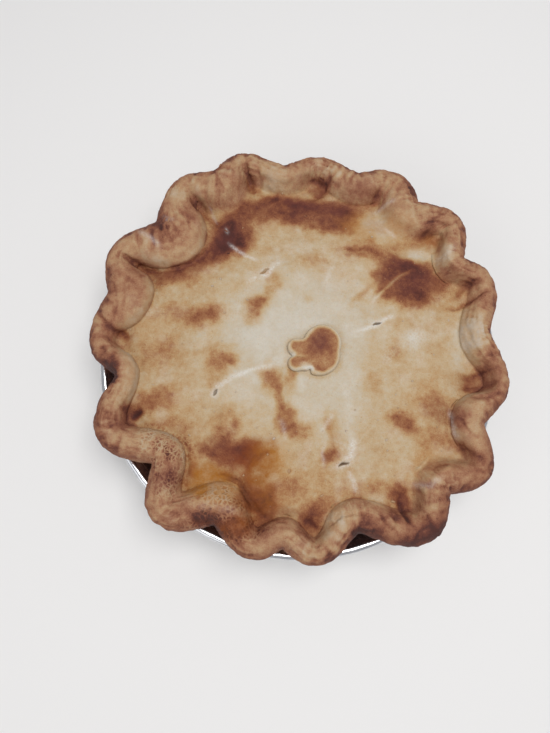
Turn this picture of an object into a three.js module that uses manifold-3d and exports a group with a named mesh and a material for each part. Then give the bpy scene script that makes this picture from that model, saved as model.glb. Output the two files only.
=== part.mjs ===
// A round minced beef pie in its foil tin, with a small pastry shape baked onto the lid.
// Millimetres, +Z up. The origin is the centre of the tin's base, +X is the pie's right side and +Y its far
// side. Angles are in degrees, counterclockwise from +X.

import * as THREE from 'three';
import { mergeVertices } from 'three/addons/utils/BufferGeometryUtils.js';
import Module from 'manifold-3d';

const wasm = await Module();
wasm.setup();

const GAP = 0.3; // between pieces that touch
const WALL_CLEARANCE = 0.1; // more room where two faceted walls face each other

// The foil tin: a flat base, a pleated wall that leans outward and a rolled rim.
const TIN_RIM_RADIUS = 110;
const TIN_HEIGHT = 38;
const TIN_BASE_RADIUS = 84;
const TIN_BASE_ROUND = 2.5;
const TIN_WALL_TOP_RADIUS = 104.9;
const RIM_ROLL_RADIUS = 2.3;
const FOIL_THICKNESS = 0.8;
const PLEATS = 72;
const PLEAT_DEPTH = 0.7;
const PLEAT_HEIGHTS = { start: 2, full: 12, fading: 27, end: 34 };
const RIM_ROLL_START = -145; // around the roll's own middle, from the wall's outside over to its inside
const RIM_ROLL_END = 155;
const RIM_ROLL_STEPS = 5;

// The pie: a domed lid inside a thick rolled edge that is pinched into flutes and leans on the tin's rim.
const LID_CENTRE_HEIGHT = 57;
const LID_FALL = 7.5; // how far the lid has dropped at LID_FALL_RADIUS
const LID_FALL_RADIUS = 82;
const LID_FALL_POWER = 2.4;
const ROLL_MIDDLE_HEIGHT = 47; // of the rolled edge, where it is widest
const LOBE_CREST_HEIGHT = 56;
const NOTCH_CREST_HEIGHT = 59.3;
const CREST_UNEVENNESS = 0.7;
const UNDERSIDE_HEIGHT = TIN_HEIGHT + 0.4; // of the rolled edge, over the rim
const UNDERSIDE_TUCK = 6; // how far the edge rounds back beneath itself
const SIDE_FLARE = 0.8; // how fast the side spreads back to the tin's wall below a notch
const LID_BLEND = 1.6; // softens the crease where the edge meets the lid

// The lid's unevenness, as low waves that fade out under the pastry shape. Turn is each wave's direction.
const LID_WAVES = [
  { height: 0.55, length: 52, turn: 20, shift: 0.5 },
  { height: 0.5, length: 43, turn: 105, shift: 2.1 },
  { height: 0.35, length: 31, turn: 155, shift: 4 },
];
const WAVES_START_RADIUS = 24;
const WAVES_FULL_RADIUS = 46;

// One row for each flute: the outward lobe's angle, outer edge and pocket edge, then the inward notch's
// angle, outer edge and inner edge.
const FLUTES = [
  [20, 114, 98, 29, 104, 86.5],
  [40, 118, 101, 51.5, 108.5, 80],
  [60, 118, 101, 72, 109, 87],
  [84, 113.5, 98, 94.5, 107, 88],
  [107, 119.5, 104, 115, 114.5, 86.5],
  [124.5, 120.5, 105, 137.5, 107, 74.5],
  [152.5, 118, 103, 163, 109, 82.5],
  [178, 112.5, 98, 189, 99, 85],
  [204, 115.5, 98, 219.5, 97, 79],
  [231, 116.5, 97, 244, 101, 78],
  [256, 111, 95, 264.5, 103, 87],
  [273.5, 111, 97.5, 286, 99.5, 81],
  [304, 118.5, 101, 314.5, 107, 86],
  [324.5, 118, 102, 336, 103.5, 85],
  [348.5, 112, 99, 4, 102.5, 85],
];

// Steam slits cut through the lid: middle and direction.
const SLITS = [
  { x: -19, y: 40.5, turn: 28 },
  { x: 40.5, y: 11.3, turn: 18 },
  { x: -44, y: -25.4, turn: 55 },
  { x: 21, y: -61.6, turn: 12 },
];
const SLIT_LENGTH = 7;
const SLIT_WIDTH = 1.6;
const SLIT_DEPTH = 4;

// The pastry shape: a round body and two short lobes, as overlapping discs.
const SHAPE_DISCS = [
  { x: 11.2, y: -0.1, radius: 9.8 },
  { x: 9.2, y: -6.3, radius: 11 },
  { x: -2.5, y: -2.4, radius: 4.6 },
  { x: -2.5, y: -10.8, radius: 4.4 },
  { x: 1.5, y: -2.9, radius: 5.2 },
  { x: 1.5, y: -9.9, radius: 5 },
];
const SHAPE_MIDDLE = { x: 5, y: -6.2 };
const SHAPE_THICKNESS = 2.6;
const SHAPE_ROUNDING = 0.8;

const PIE_COLUMNS = 168;
const LID_ROWS = [0.15, 0.3, 0.45, 0.6, 0.74, 0.86, 0.95, 1]; // as parts of the way to the rolled edge
const CREST_ROWS = 9;
const UNDERSIDE_ROWS = 3;
const SIDE_ROW_HEIGHTS = [37.8, 33, 28, 22, 12, 4];
const SHAPE_OUTLINE_POINTS = 48;

const radians = THREE.MathUtils.degToRad;
const { lerp, smoothstep } = THREE.MathUtils;

// How far a ray from x, y travels to where it enters and leaves a group of discs.
function spanOfDiscs(discs, x, y, angle) {
  const along = { x: Math.cos(radians(angle)), y: Math.sin(radians(angle)) };
  const span = { near: Infinity, far: 0 };
  for (const disc of discs) {
    const toX = disc.x - x;
    const toY = disc.y - y;
    const forward = toX * along.x + toY * along.y;
    const sideways = toX * along.y - toY * along.x;
    if (forward > 0 && Math.abs(sideways) < disc.radius) {
      const half = Math.sqrt(disc.radius ** 2 - sideways ** 2);
      span.near = Math.min(span.near, forward - half);
      span.far = Math.max(span.far, forward + half);
    }
  }
  return span;
}

// The rolled edge's lobes and notches in order, as its middle radius, half width and crest height.
function edgeKnots() {
  const knots = [];
  FLUTES.forEach(([lobeAngle, lobeOuter, pocket, notchAngle, notchOuter, notchInner], i) => {
    const uneven = CREST_UNEVENNESS * Math.sin(2.4 * i);
    knots.push({
      angle: lobeAngle,
      middle: (lobeOuter + pocket) / 2,
      half: (lobeOuter - pocket) / 2,
      crest: LOBE_CREST_HEIGHT + uneven,
    });
    knots.push({
      angle: notchAngle < lobeAngle ? notchAngle + 360 : notchAngle,
      middle: (notchOuter + notchInner) / 2,
      half: (notchOuter - notchInner) / 2,
      crest: NOTCH_CREST_HEIGHT - Math.abs(uneven),
    });
  });
  return knots;
}

// The rolled edge as balls along its wavy middle line: x, y, radius and crest height.
function edgeBalls() {
  const knots = edgeKnots();
  knots.push({ ...knots[0], angle: knots[0].angle + 360 });
  const balls = [];
  for (let i = 0; i + 1 < knots.length; i++) {
    const from = knots[i];
    const to = knots[i + 1];
    const steps = Math.ceil(to.angle - from.angle);
    for (let step = 0; step < steps; step++) {
      const turn = radians(lerp(from.angle, to.angle, step / steps));
      const ease = (1 - Math.cos((Math.PI * step) / steps)) / 2;
      const middle = lerp(from.middle, to.middle, ease);
      balls.push({
        x: middle * Math.cos(turn),
        y: middle * Math.sin(turn),
        radius: lerp(from.half, to.half, ease),
        crest: lerp(from.crest, to.crest, ease),
      });
    }
  }
  return balls;
}

const EDGE_BALLS = edgeBalls();

function edgeHeight(x, y) {
  let height = ROLL_MIDDLE_HEIGHT;
  for (const ball of EDGE_BALLS) {
    const inside = 1 - ((x - ball.x) ** 2 + (y - ball.y) ** 2) / ball.radius ** 2;
    if (inside > 0) {
      const rise = (ball.crest - ROLL_MIDDLE_HEIGHT) * Math.sqrt(inside);
      height = Math.max(height, ROLL_MIDDLE_HEIGHT + rise);
    }
  }
  return height;
}

function lidHeight(x, y) {
  const radius = Math.hypot(x, y);
  const dome = LID_CENTRE_HEIGHT - LID_FALL * (radius / LID_FALL_RADIUS) ** LID_FALL_POWER;
  let waves = 0;
  for (const { height, length, turn, shift } of LID_WAVES) {
    const along = x * Math.cos(radians(turn)) + y * Math.sin(radians(turn));
    waves += height * Math.sin((2 * Math.PI * along) / length + shift);
  }
  return dome + waves * smoothstep(radius, WAVES_START_RADIUS, WAVES_FULL_RADIUS);
}

function smoothMax(a, b, blend) {
  const near = Math.max(blend - Math.abs(a - b), 0) / blend;
  return Math.max(a, b) + (near * near * blend) / 4;
}

// The inner face of the tin's wall, without its pleats.
function tinWallRadius(z) {
  const up = (z - FOIL_THICKNESS) / (TIN_HEIGHT - FOIL_THICKNESS);
  return lerp(TIN_BASE_RADIUS, TIN_WALL_TOP_RADIUS, up);
}

// The pie's section at an angle, from the base's middle up the side and over the rolled edge to the lid.
function pieSection(angle) {
  const turn = radians(angle);
  const edge = spanOfDiscs(EDGE_BALLS, 0, 0, angle);
  const section = [new THREE.Vector2(0, lidHeight(0, 0))];
  for (const part of LID_ROWS) {
    const radius = edge.near * part;
    const lid = lidHeight(radius * Math.cos(turn), radius * Math.sin(turn));
    section.push(new THREE.Vector2(radius, smoothMax(lid, ROLL_MIDDLE_HEIGHT, LID_BLEND)));
  }
  for (let row = 1; row <= CREST_ROWS; row++) {
    const across = (1 - Math.cos((Math.PI * row) / CREST_ROWS)) / 2;
    const radius = lerp(edge.near, edge.far, across);
    const x = radius * Math.cos(turn);
    const y = radius * Math.sin(turn);
    const buried = Math.min(lidHeight(x, y), ROLL_MIDDLE_HEIGHT - LID_BLEND + edge.far - radius);
    section.push(new THREE.Vector2(radius, smoothMax(buried, edgeHeight(x, y), LID_BLEND)));
  }
  for (let row = 1; row <= UNDERSIDE_ROWS; row++) {
    const around = (Math.PI / 2) * (row / UNDERSIDE_ROWS);
    const radius = edge.far - UNDERSIDE_TUCK * (1 - Math.cos(around));
    const z = lerp(ROLL_MIDDLE_HEIGHT, UNDERSIDE_HEIGHT, Math.sin(around));
    section.push(new THREE.Vector2(radius, z));
  }
  for (const z of SIDE_ROW_HEIGHTS) {
    const wall = tinWallRadius(z) - PLEAT_DEPTH - GAP - WALL_CLEARANCE;
    const spread = edge.far - UNDERSIDE_TUCK + SIDE_FLARE * (UNDERSIDE_HEIGHT - z);
    section.push(new THREE.Vector2(Math.min(wall, spread), z));
  }
  const bottom = FOIL_THICKNESS + GAP;
  section.push(new THREE.Vector2(tinWallRadius(bottom) - PLEAT_DEPTH - GAP - TIN_BASE_ROUND, bottom));
  section.push(new THREE.Vector2(0, bottom));
  return section.reverse();
}

// A lathe's surface whose section changes from column to column.
function latheOfSections(columns, sectionAt) {
  const rows = sectionAt(0).length;
  const geometry = new THREE.LatheGeometry(sectionAt(0), columns);
  const position = geometry.getAttribute('position');
  for (let column = 0; column <= columns; column++) {
    const angle = ((column % columns) * 360) / columns;
    sectionAt(angle).forEach((point, row) => {
      const x = point.x * Math.cos(radians(angle));
      const y = point.x * Math.sin(radians(angle));
      position.setXYZ(column * rows + row, x, y, point.y);
    });
  }
  return closed(geometry);
}

// The same surface with its shared vertices merged and no folded triangle.
function closed(geometry) {
  geometry.deleteAttribute('normal');
  geometry.deleteAttribute('uv');
  const merged = mergeVertices(geometry, 1e-4);
  const faces = [];
  for (let i = 0; i < merged.index.count; i += 3) {
    const [a, b, c] = [0, 1, 2].map((corner) => merged.index.getX(i + corner));
    if (a !== b && b !== c && c !== a) faces.push(a, b, c);
  }
  merged.setIndex(faces);
  return merged;
}

function toSolid(geometry) {
  const mesh = new wasm.Mesh({
    numProp: 3,
    vertProperties: new Float32Array(geometry.getAttribute('position').array),
    triVerts: new Uint32Array(geometry.index.array),
  });
  return new wasm.Manifold(mesh);
}

function toGeometry(solid) {
  const mesh = solid.getMesh();
  const geometry = new THREE.BufferGeometry();
  geometry.setAttribute('position', new THREE.BufferAttribute(mesh.vertProperties, 3));
  geometry.setIndex(new THREE.BufferAttribute(mesh.triVerts, 1));
  return geometry;
}

// A thin lens-shaped block that stands in the lid where a steam slit goes.
function slitCutter({ x, y, turn }) {
  const lens = new THREE.Shape();
  lens.moveTo(-SLIT_LENGTH / 2, 0);
  lens.quadraticCurveTo(0, -SLIT_WIDTH, SLIT_LENGTH / 2, 0);
  lens.quadraticCurveTo(0, SLIT_WIDTH, -SLIT_LENGTH / 2, 0);
  const size = { depth: 3 * SLIT_DEPTH, bevelEnabled: false, curveSegments: 4 };
  const cutter = new THREE.ExtrudeGeometry(lens, size);
  cutter.rotateZ(radians(turn));
  cutter.translate(x, y, lidHeight(x, y) - SLIT_DEPTH);
  return toSolid(closed(cutter));
}

function pieGeometry() {
  let pie = toSolid(latheOfSections(PIE_COLUMNS, pieSection));
  for (const slit of SLITS) pie = pie.subtract(slitCutter(slit));
  return toGeometry(pie);
}

// The pastry shape, laid on the lid's curve.
function pastryShapeGeometry() {
  const outline = [];
  for (let i = 0; i < SHAPE_OUTLINE_POINTS; i++) {
    const angle = (i * 360) / SHAPE_OUTLINE_POINTS;
    const reach = spanOfDiscs(SHAPE_DISCS, SHAPE_MIDDLE.x, SHAPE_MIDDLE.y, angle).far - SHAPE_ROUNDING;
    const x = SHAPE_MIDDLE.x + reach * Math.cos(radians(angle));
    const y = SHAPE_MIDDLE.y + reach * Math.sin(radians(angle));
    outline.push(new THREE.Vector2(x, y));
  }
  const geometry = new THREE.ExtrudeGeometry(new THREE.Shape(outline), {
    depth: SHAPE_THICKNESS - 2 * SHAPE_ROUNDING,
    bevelEnabled: true,
    bevelThickness: SHAPE_ROUNDING,
    bevelSize: SHAPE_ROUNDING,
    bevelSegments: 2,
  });
  const position = geometry.getAttribute('position');
  for (let i = 0; i < position.count; i++) {
    const lift = position.getZ(i) + SHAPE_ROUNDING + GAP;
    position.setZ(i, lift + lidHeight(position.getX(i), position.getY(i)));
  }
  return closed(geometry);
}

// The tin's section at an angle, from the middle of the base up the outside, round the rim and back inside.
function tinSection(angle) {
  const column = Math.round((angle * 2 * PLEATS) / 360);
  const pleat = column % 2 ? PLEAT_DEPTH : -PLEAT_DEPTH;
  const { start, full, fading, end } = PLEAT_HEIGHTS;
  const pleated = (radius, z) => {
    const fade = smoothstep(z, start, full) * (1 - smoothstep(z, fading, end));
    return new THREE.Vector2(radius + pleat * fade, z);
  };
  const section = [new THREE.Vector2(0, 0), new THREE.Vector2(TIN_BASE_RADIUS - TIN_BASE_ROUND, 0)];
  for (const z of [start, full, fading]) section.push(pleated(tinWallRadius(z) + FOIL_THICKNESS, z));
  for (let step = 0; step <= RIM_ROLL_STEPS; step++) {
    const around = radians(lerp(RIM_ROLL_START, RIM_ROLL_END, step / RIM_ROLL_STEPS));
    const radius = TIN_RIM_RADIUS - RIM_ROLL_RADIUS * (1 - Math.cos(around));
    const z = TIN_HEIGHT - RIM_ROLL_RADIUS * (1 - Math.sin(around));
    section.push(new THREE.Vector2(radius, z));
  }
  for (const z of [fading, full, start]) section.push(pleated(tinWallRadius(z), z));
  section.push(new THREE.Vector2(TIN_BASE_RADIUS - TIN_BASE_ROUND, FOIL_THICKNESS));
  section.push(new THREE.Vector2(0, FOIL_THICKNESS));
  return section;
}

function named(name, geometry, material) {
  const mesh = new THREE.Mesh(geometry, material);
  mesh.name = name;
  return mesh;
}

const crust = new THREE.MeshStandardMaterial({ color: 0xc49a66, roughness: 0.75, metalness: 0 });
const brownedPastry = new THREE.MeshStandardMaterial({ color: 0xa5683f, roughness: 0.6, metalness: 0 });
const foil = new THREE.MeshStandardMaterial({ color: 0xc9ccd0, roughness: 0.3, metalness: 1 });

const pie = new THREE.Group();
pie.add(named('pie_crust', pieGeometry(), crust));
pie.add(named('pastry_shape', pastryShapeGeometry(), brownedPastry));
pie.add(named('foil_tin', latheOfSections(2 * PLEATS, tinSection), foil));

export default pie;
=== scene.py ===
"""A round minced beef pie in its foil tin, seen from above on a pale studio floor.

Lengths are millimetres until a mesh is made, and metres in Blender. +X is the pie's right side, +Y its far
side and +Z up, with the origin at the middle of the tin's base. Angles are degrees, counterclockwise from +X.
"""

import itertools
import math

import bmesh
import bpy
import numpy as np
from mathutils import Matrix, Vector
from mathutils.bvhtree import BVHTree


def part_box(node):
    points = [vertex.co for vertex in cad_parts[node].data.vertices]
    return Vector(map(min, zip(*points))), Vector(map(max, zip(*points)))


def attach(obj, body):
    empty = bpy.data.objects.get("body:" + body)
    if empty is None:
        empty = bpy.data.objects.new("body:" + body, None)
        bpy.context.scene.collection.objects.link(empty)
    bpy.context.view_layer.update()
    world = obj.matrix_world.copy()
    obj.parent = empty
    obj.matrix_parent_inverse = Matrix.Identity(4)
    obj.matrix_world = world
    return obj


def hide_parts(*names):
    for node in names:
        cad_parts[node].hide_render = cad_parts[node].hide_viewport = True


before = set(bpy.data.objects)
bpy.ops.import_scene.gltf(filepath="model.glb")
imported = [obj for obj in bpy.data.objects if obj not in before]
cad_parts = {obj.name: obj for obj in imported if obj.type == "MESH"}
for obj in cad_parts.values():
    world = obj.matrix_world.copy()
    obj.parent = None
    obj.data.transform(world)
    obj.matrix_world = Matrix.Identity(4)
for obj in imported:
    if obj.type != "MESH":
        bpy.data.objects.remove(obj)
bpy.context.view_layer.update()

MM = 0.001

# ---------------------------------------------------------------- sizes shared with the solids

TIN_RIM_RADIUS = 110
TIN_HEIGHT = 38
TIN_BASE_RADIUS = 84
TIN_BASE_ROUND = 2.5
TIN_WALL_TOP_RADIUS = 104.9
RIM_ROLL_RADIUS = 2.3
FOIL_THICKNESS = 0.8
PLEAT_DEPTH = 0.7
GAP = 0.3

LID_CENTRE_HEIGHT = 57
LID_FALL = 7.5
LID_FALL_RADIUS = 82
LID_FALL_POWER = 2.4
ROLL_MIDDLE_HEIGHT = 47
LOBE_CREST_HEIGHT = 56
NOTCH_CREST_HEIGHT = 59.3
CREST_UNEVENNESS = 0.7
UNDERSIDE_HEIGHT = TIN_HEIGHT + 0.4
UNDERSIDE_TUCK = 6
SIDE_FLARE = 0.8
LID_BLEND = 1.6
# Slow waves in the lid: height, length, direction, shift.
LID_WAVES = [(0.55, 52, 20, 0.5), (0.5, 43, 105, 2.1), (0.35, 31, 155, 4)]
WAVES_START_RADIUS = 24
WAVES_FULL_RADIUS = 46

# One row for each flute: the outward lobe's angle, outer edge and pocket edge, then the inward notch's
# angle, outer edge and inner edge.
FLUTES = [
    (20, 114, 98, 29, 104, 86.5),
    (40, 118, 101, 51.5, 108.5, 80),
    (60, 118, 101, 72, 109, 87),
    (84, 113.5, 98, 94.5, 107, 88),
    (107, 119.5, 104, 115, 114.5, 86.5),
    (124.5, 120.5, 105, 137.5, 107, 74.5),
    (152.5, 118, 103, 163, 109, 82.5),
    (178, 112.5, 98, 189, 99, 85),
    (204, 115.5, 98, 219.5, 97, 79),
    (231, 116.5, 97, 244, 101, 78),
    (256, 111, 95, 264.5, 103, 87),
    (273.5, 111, 97.5, 286, 99.5, 81),
    (304, 118.5, 101, 314.5, 107, 86),
    (324.5, 118, 102, 336, 103.5, 85),
    (348.5, 112, 99, 4, 102.5, 85),
]

# How gently each lobe's and each notch's inner side runs into the lid, from 0 to 1, in the flutes' order.
LOBE_SOFTNESS = (0.6, 0.9, 0.6, 0.9, 0.6, 0.2, 0, 0, 0, 0.1, 0.3, 0.3, 0.4, 0.8, 0.3)
NOTCH_SOFTNESS = (1.0, 1.0, 0.4, 0.7, 0.9, 0.1, 0, 0, 0, 0.55, 0.4, 0.25, 1.0, 0.2, 0.25)

# Steam slits, now partly closed: x, y, turn, open length, open width, darkness, which is how dark the shade
# painted into the opening is.
SLITS = [
    (-19, 40.5, 29, 6.6, 1.6, 0.25),
    (40.5, 11.3, 22, 5.6, 1.2, 0.75),
    (-44, -25.4, 51, 4.2, 1.5, 0.55),
    (21, -61.6, 19, 6.8, 1.4, 0.9),
]
SLIT_DEPTH = 1.9

# The discs that make up the pastry shape: x, y, radius.
SHAPE_DISCS = [
    (11.2, -0.1, 9.8),
    (9.2, -6.3, 11),
    (-2.5, -2.4, 4.6),
    (-2.5, -10.8, 4.4),
    (1.5, -2.9, 5.2),
    (1.5, -9.9, 5),
]
SHAPE_MIDDLE = (5, -6.2)
SHAPE_THICKNESS = 2.6

# ---------------------------------------------------------------- what the crust shows, as places in plan

# Browning on the lid and the edge: x, y, long half, short half, turn, amount. Less than nothing is paler.
# The ovals at (97, -14), (88, -20) and (-97, -12) are painted shade on the edge's outer sides, and those at
# (60, -94), (34, 88) and (-66, -69) are partly browning and partly painted shade.
BROWNED = [
    (-25, 18, 9, 6, 60, 0.42), (-15, 94, 11, 6, 0, -0.15), (-89, -16, 5, 18, 0, -0.13),
    (87, -40, 7, 10, 0, -0.12), (-19, 26, 6, 3, 60, 0.16), (-21, 22, 5, 5, 0, 0.14),
    (-14, 32, 9, 4, 70, 0.22), (-50, 16, 12, 7, 0, 0.32), (-46, 15, 5, 5, 0, 0.14),
    (-68, 19, 9, 4.5, 10, 0.2), (-58, 14, 7, 4, 0, 0.12), (-73, -4, 13, 9, 0, 0.16),
    (-42, -6, 9, 7, -20, 0.3), (-37, -8, 6, 3, -40, 0.18), (-46, -16, 5, 9, 0, 0.16),
    (-76, -28, 11, 7, 20, 0.32), (-72, -42, 14, 3, 0, 0.12), (-39, -42, 6, 10, 0, 0.26),
    (-34, -56, 13, 7, 10, 0.42), (-28, -56, 7, 5, 0, 0.2), (-49, -56, 8, 6, 0, 0.12),
    (-41, -49, 4, 5, 0, 0.14), (-21, -58, 8, 7, 0, 0.22), (-14, -18, 6.5, 8, 0, 0.5),
    (-10, -27, 3, 8, 0, 0.26), (-4.5, -18, 3.5, 7, 0, 0.32), (-45, -52, 7, 5, 20, 0.2),
    (-34, -43, 3, 6, 0, 0.16), (-66, -69, 9, 6, 0, 0.1), (-8, -37, 5, 8, 10, 0.3),
    (-3, -44, 7, 4.5, 0, 0.3), (8, 47, 8, 5, 0, 0.22), (-14, 51, 6, 3, 0, 0.12), (5, 25, 5, 3, 0, 0.13),
    (36, 54, 15, 5, 0, 0.26), (33, 27, 8, 2.5, 40, 0.22), (61, 36, 19, 12, 14, 0.44),
    (60, 41, 12, 7, 10, 0.15), (52, 47, 11, 5, -10, 0.3), (45, 39, 7, 8, 0, 0.28), (78, 38, 8, 6, 20, 0.2),
    (60, 26, 13, 6, 0, 0.22), (60, 58, 12, 4, 10, 0.16), (70, 66, 9, 6, 30, 0.12),
    (36, -18, 4.5, 9, 10, 0.15), (48, -4, 4, 6, 0, 0.12), (52, -41.5, 11, 5.5, -25, 0.34),
    (49, -35, 4, 5, 0, 0.12), (75, -35, 13, 9, -10, 0.24), (66, -52, 12, 6, 35, 0.1),
    (74, -50, 8, 5, -35, 0.16), (87, -57, 7, 5, 0, 0.12), (16, -42, 3.5, 8, 0, 0.24),
    (15, -57, 4, 5.5, 0, 0.28), (40, -74, 17, 5, 0, 0.22), (49, -74, 4, 3, 0, 0.24), (4, -90, 8, 8, 0, 0.3),
    (-8, -76, 10, 6, 0, 0.18), (2, -71, 22, 8, 0, 0.09), (46, 27, 6, 5, 30, 0.24), (64, -60, 9, 7, 0, 0.07),
    (-60, -36, 14, 20, 0, 0.05), (10, -82, 9, 6, 30, 0.26), (-19, -78, 7, 7, 0, 0.34),
    (92, 34, 9, 5, 30, 0.1), (87, 3, 5, 18, 0, -0.22), (93, 5, 4, 14, 0, -0.17),
    (64, 56, 10, 9, -40, -0.06), (76, 42, 8, 8, 0, -0.06), (-6.4, -65, 1.4, 0.8, 60, 0.3),
    (0, 8, 34, 26, 20, -0.12), (20, -30, 16, 22, 0, -0.06), (-30, 2, 14, 12, 0, -0.05),
    (59, 4, 8, 6, 0, -0.12), (66, 50, 7, 4, -10, -0.24), (79, 50, 7, 5, 40, -0.18),
    (44, 68, 12, 7, -15, -0.26), (29, 67, 6, 5, -15, 0.16), (18, 66, 7, 4, -10, 0.14),
    (-66, 37, 13, 5, 8, 0.26), (-51, 46, 8, 4, 40, 0.14), (-29, 59, 6, 9, -30, 0.24),
    (-34, 53, 4, 4, 0, 0.12), (-12, -85, 7, 5, -20, 0.24), (-25, -69, 6, 8, 10, 0.16),
    (13.5, -59.5, 4, 4, 0, 0.14), (17.5, -53, 2.5, 5, -10, 0.14), (80, 8, 6, 18, 0, -0.05),
    (-60, 57, 8, 6, 50, -0.03), (-66, 86, 6, 6, 0, -0.12), (-41, 94, 12, 6, 20, 0.07),
    (-90, 58, 8, 8, 0, 0.06), (88, 46, 6, 6, 0, 0.1), (-68, -60, 14, 10, -40, 0.06),
    (-74, 60, 10, 8, 0, 0.16), (-88, 36, 9, 10, 0, 0.14), (-41, 61, 8, 7, 20, 0.3),
    (-62, 76, 8, 6, 30, 0.1), (12, 92, 6, 5, 0, 0.22), (-25.5, 99, 3, 9, 15, 0.16),
    (34, 88, 15, 8, -10, 0.17), (55, 92, 8, 4, 60, -0.08), (73, 62, 7, 5, 20, 0.12),
    (97, -14, 9, 16, 0, 0.18), (88, -20, 6, 6, 0, 0.12), (86, -40, 5, 10, 0, -0.08),
    (60, -94, 15, 6, 20, 0.27), (61, -82, 6, 4, 20, -0.14), (52, -80, 6, 4, -20, 0.4),
    (32, -93, 12, 5, 0, 0.26), (46, -86, 6, 4, 0, 0.2), (20, -88, 9, 4, 25, -0.22),
    (-47, -87, 12, 7, -10, 0.42), (-28, -93, 13, 6, 0, 0.36), (-20, -82, 8, 7, 0, 0.2),
    (-41, -74, 8, 5, 0, -0.12), (-30, -80, 9, 6, 0, 0.1), (-66, -66, 8, 6, 0, 0.16),
    (-97, -12, 6, 10, 0, 0.36), (-101, -36, 7, 10, 0, 0.07), (-98, 10, 6, 8, 0, 0.1),
    (-87, -36, 4, 5, 0, 0.34), (-92, -42, 5, 4, 0, 0.12),
]

# Boiled-out juice, dark orange to mustard: x, y, long half, short half, turn, amount, yellowness.
JUICE = [
    (-19, 40.5, 3.6, 1.2, 29, 0.7, 0.95), (-12, -59, 7, 10, 0, 0.5, 1.0), (-16, -55, 4, 5, 0, 0.4, 0.5),
    (50, 68, 14, 7, -20, 0.28, 0.85), (-46, -90, 9, 4, 0, 0.35, 0.1), (-12, -80, 8, 9, 0, 0.25, 0.6),
    (-34, -57, 10, 7, 10, 0.4, 0.05), (-26, -58, 6, 8, 0, 0.8, 0.12), (-20, -60, 7, 10, -20, 0.9, 0.5),
    (-24, -69, 5, 7, 10, 0.6, 0.2), (-19, -66, 6, 9, 20, 0.6, 0.5), (-50, -70, 10, 5.5, 40, 1.0, 0.75),
    (-44, -65, 9, 4, -10, 0.9, 0.65), (-25, -84, 9, 8, 0, 0.7, 0.25), (-33, -92, 10, 6, 0, 0.7, 0.2),
    (-40, -75, 12, 8, 0, 0.62, 0.85), (-19, -76, 6, 9, 20, 0.4, 0.4), (38, 68, 16, 8, -15, 0.42, 0.95),
    (64, 57, 10, 4, 10, 0.2, 0.5), (76, 60, 5, 4, 0, 0.25, 0.9), (-55, -62, 3.5, 6, 20, 0.55, 0.35),
    (-10, -40, 5, 6, 0, 0.2, 0.4), (17, -46, 3, 6, 0, 0.25, 0.6), (66, -58, 12, 8, 30, 0.16, 0.95),
    (18, 36, 14, 9, 0, 0.1, 0.95),
]

# Purple-brown darkening: baked-in juice, and painted shade in the spots along the far edge, with y above 75,
# and at (92, -20), (60, -94) and (-66, -70): x, y, long half, short half, turn, amount.
DARKENED = [
    (-44, -52, 8, 5, 10, 0.4), (-66, -70, 9, 6, 0, 0.5), (-4, 84, 9, 4, -5, 0.95), (-22, 81, 8, 4, 20, 0.6),
    (22, 79, 9, 4, -10, 0.9), (63, 37, 17, 9, 18, 0.65), (55, 46, 11, 5, 0, 0.7), (46, 39, 5, 6, 0, 0.5),
    (-41, 61, 8, 6, 30, 0.95), (-35, 68, 7, 5, 40, 0.6), (-34, -57, 7, 5, 0, 0.35),
    (-24, -75, 4, 10, 20, 0.7), (-10, -86, 10, 3, -8, 0.6), (13, 92, 6, 5, 0, 0.6),
    (92, -20, 12, 8, 0, 0.35), (74, -35, 11, 7, 0, 0.35), (-90, -39, 5, 5, 0, 0.4),
    (60, -94, 14, 6, 20, 0.2), (52, -80, 5, 4, -20, 0.6), (33, 88, 12, 5, -10, 0.35),
]

# Dark bands along the edge, of baked juice and, on the far side where y is above 65, of painted shade as
# well:
# points of a line, half width, browning, darkening.
BANDS = [
    ([(-88, 45), (-76, 41), (-66, 41.5), (-57, 46), (-49, 53), (-44, 60)], 4.5, 0.25, 0.45),
    ([(-52, 51), (-44, 58), (-41, 66), (-34, 73)], 7.5, 0.34, 0.6),
    ([(-44, 68), (-33, 75), (-20, 80), (-6, 82)], 7.5, 0.3, 0.35),
    ([(-36, 82), (-22, 84), (-8, 85)], 3, 0.2, 0.3),
    ([(-12, 84), (2, 82), (16, 81), (34, 77)], 4.5, 0.36, 0.9),
    ([(-10, 78), (6, 75), (20, 73), (34, 76)], 6.5, 0.34, 0.45),
    ([(8, 71), (18, 69), (27, 67)], 4, 0.24, 0.3),
    ([(-24, 73), (-10, 74), (4, 73)], 4, 0.12, 0.1),
    ([(-34, 54), (-31, 62), (-26, 70)], 6, 0.26, 0.3),
    ([(-20, 71), (-12, 74), (-4, 74)], 3.5, 0.16, 0.0),
    ([(-44, -66), (-38, -67), (-31, -71), (-27, -79), (-20, -88)], 2.4, 0.24, 0.55),
    ([(-15, -55), (-20.8, -58), (-27, -64)], 1.5, 0.18, 0.1),
]

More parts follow.
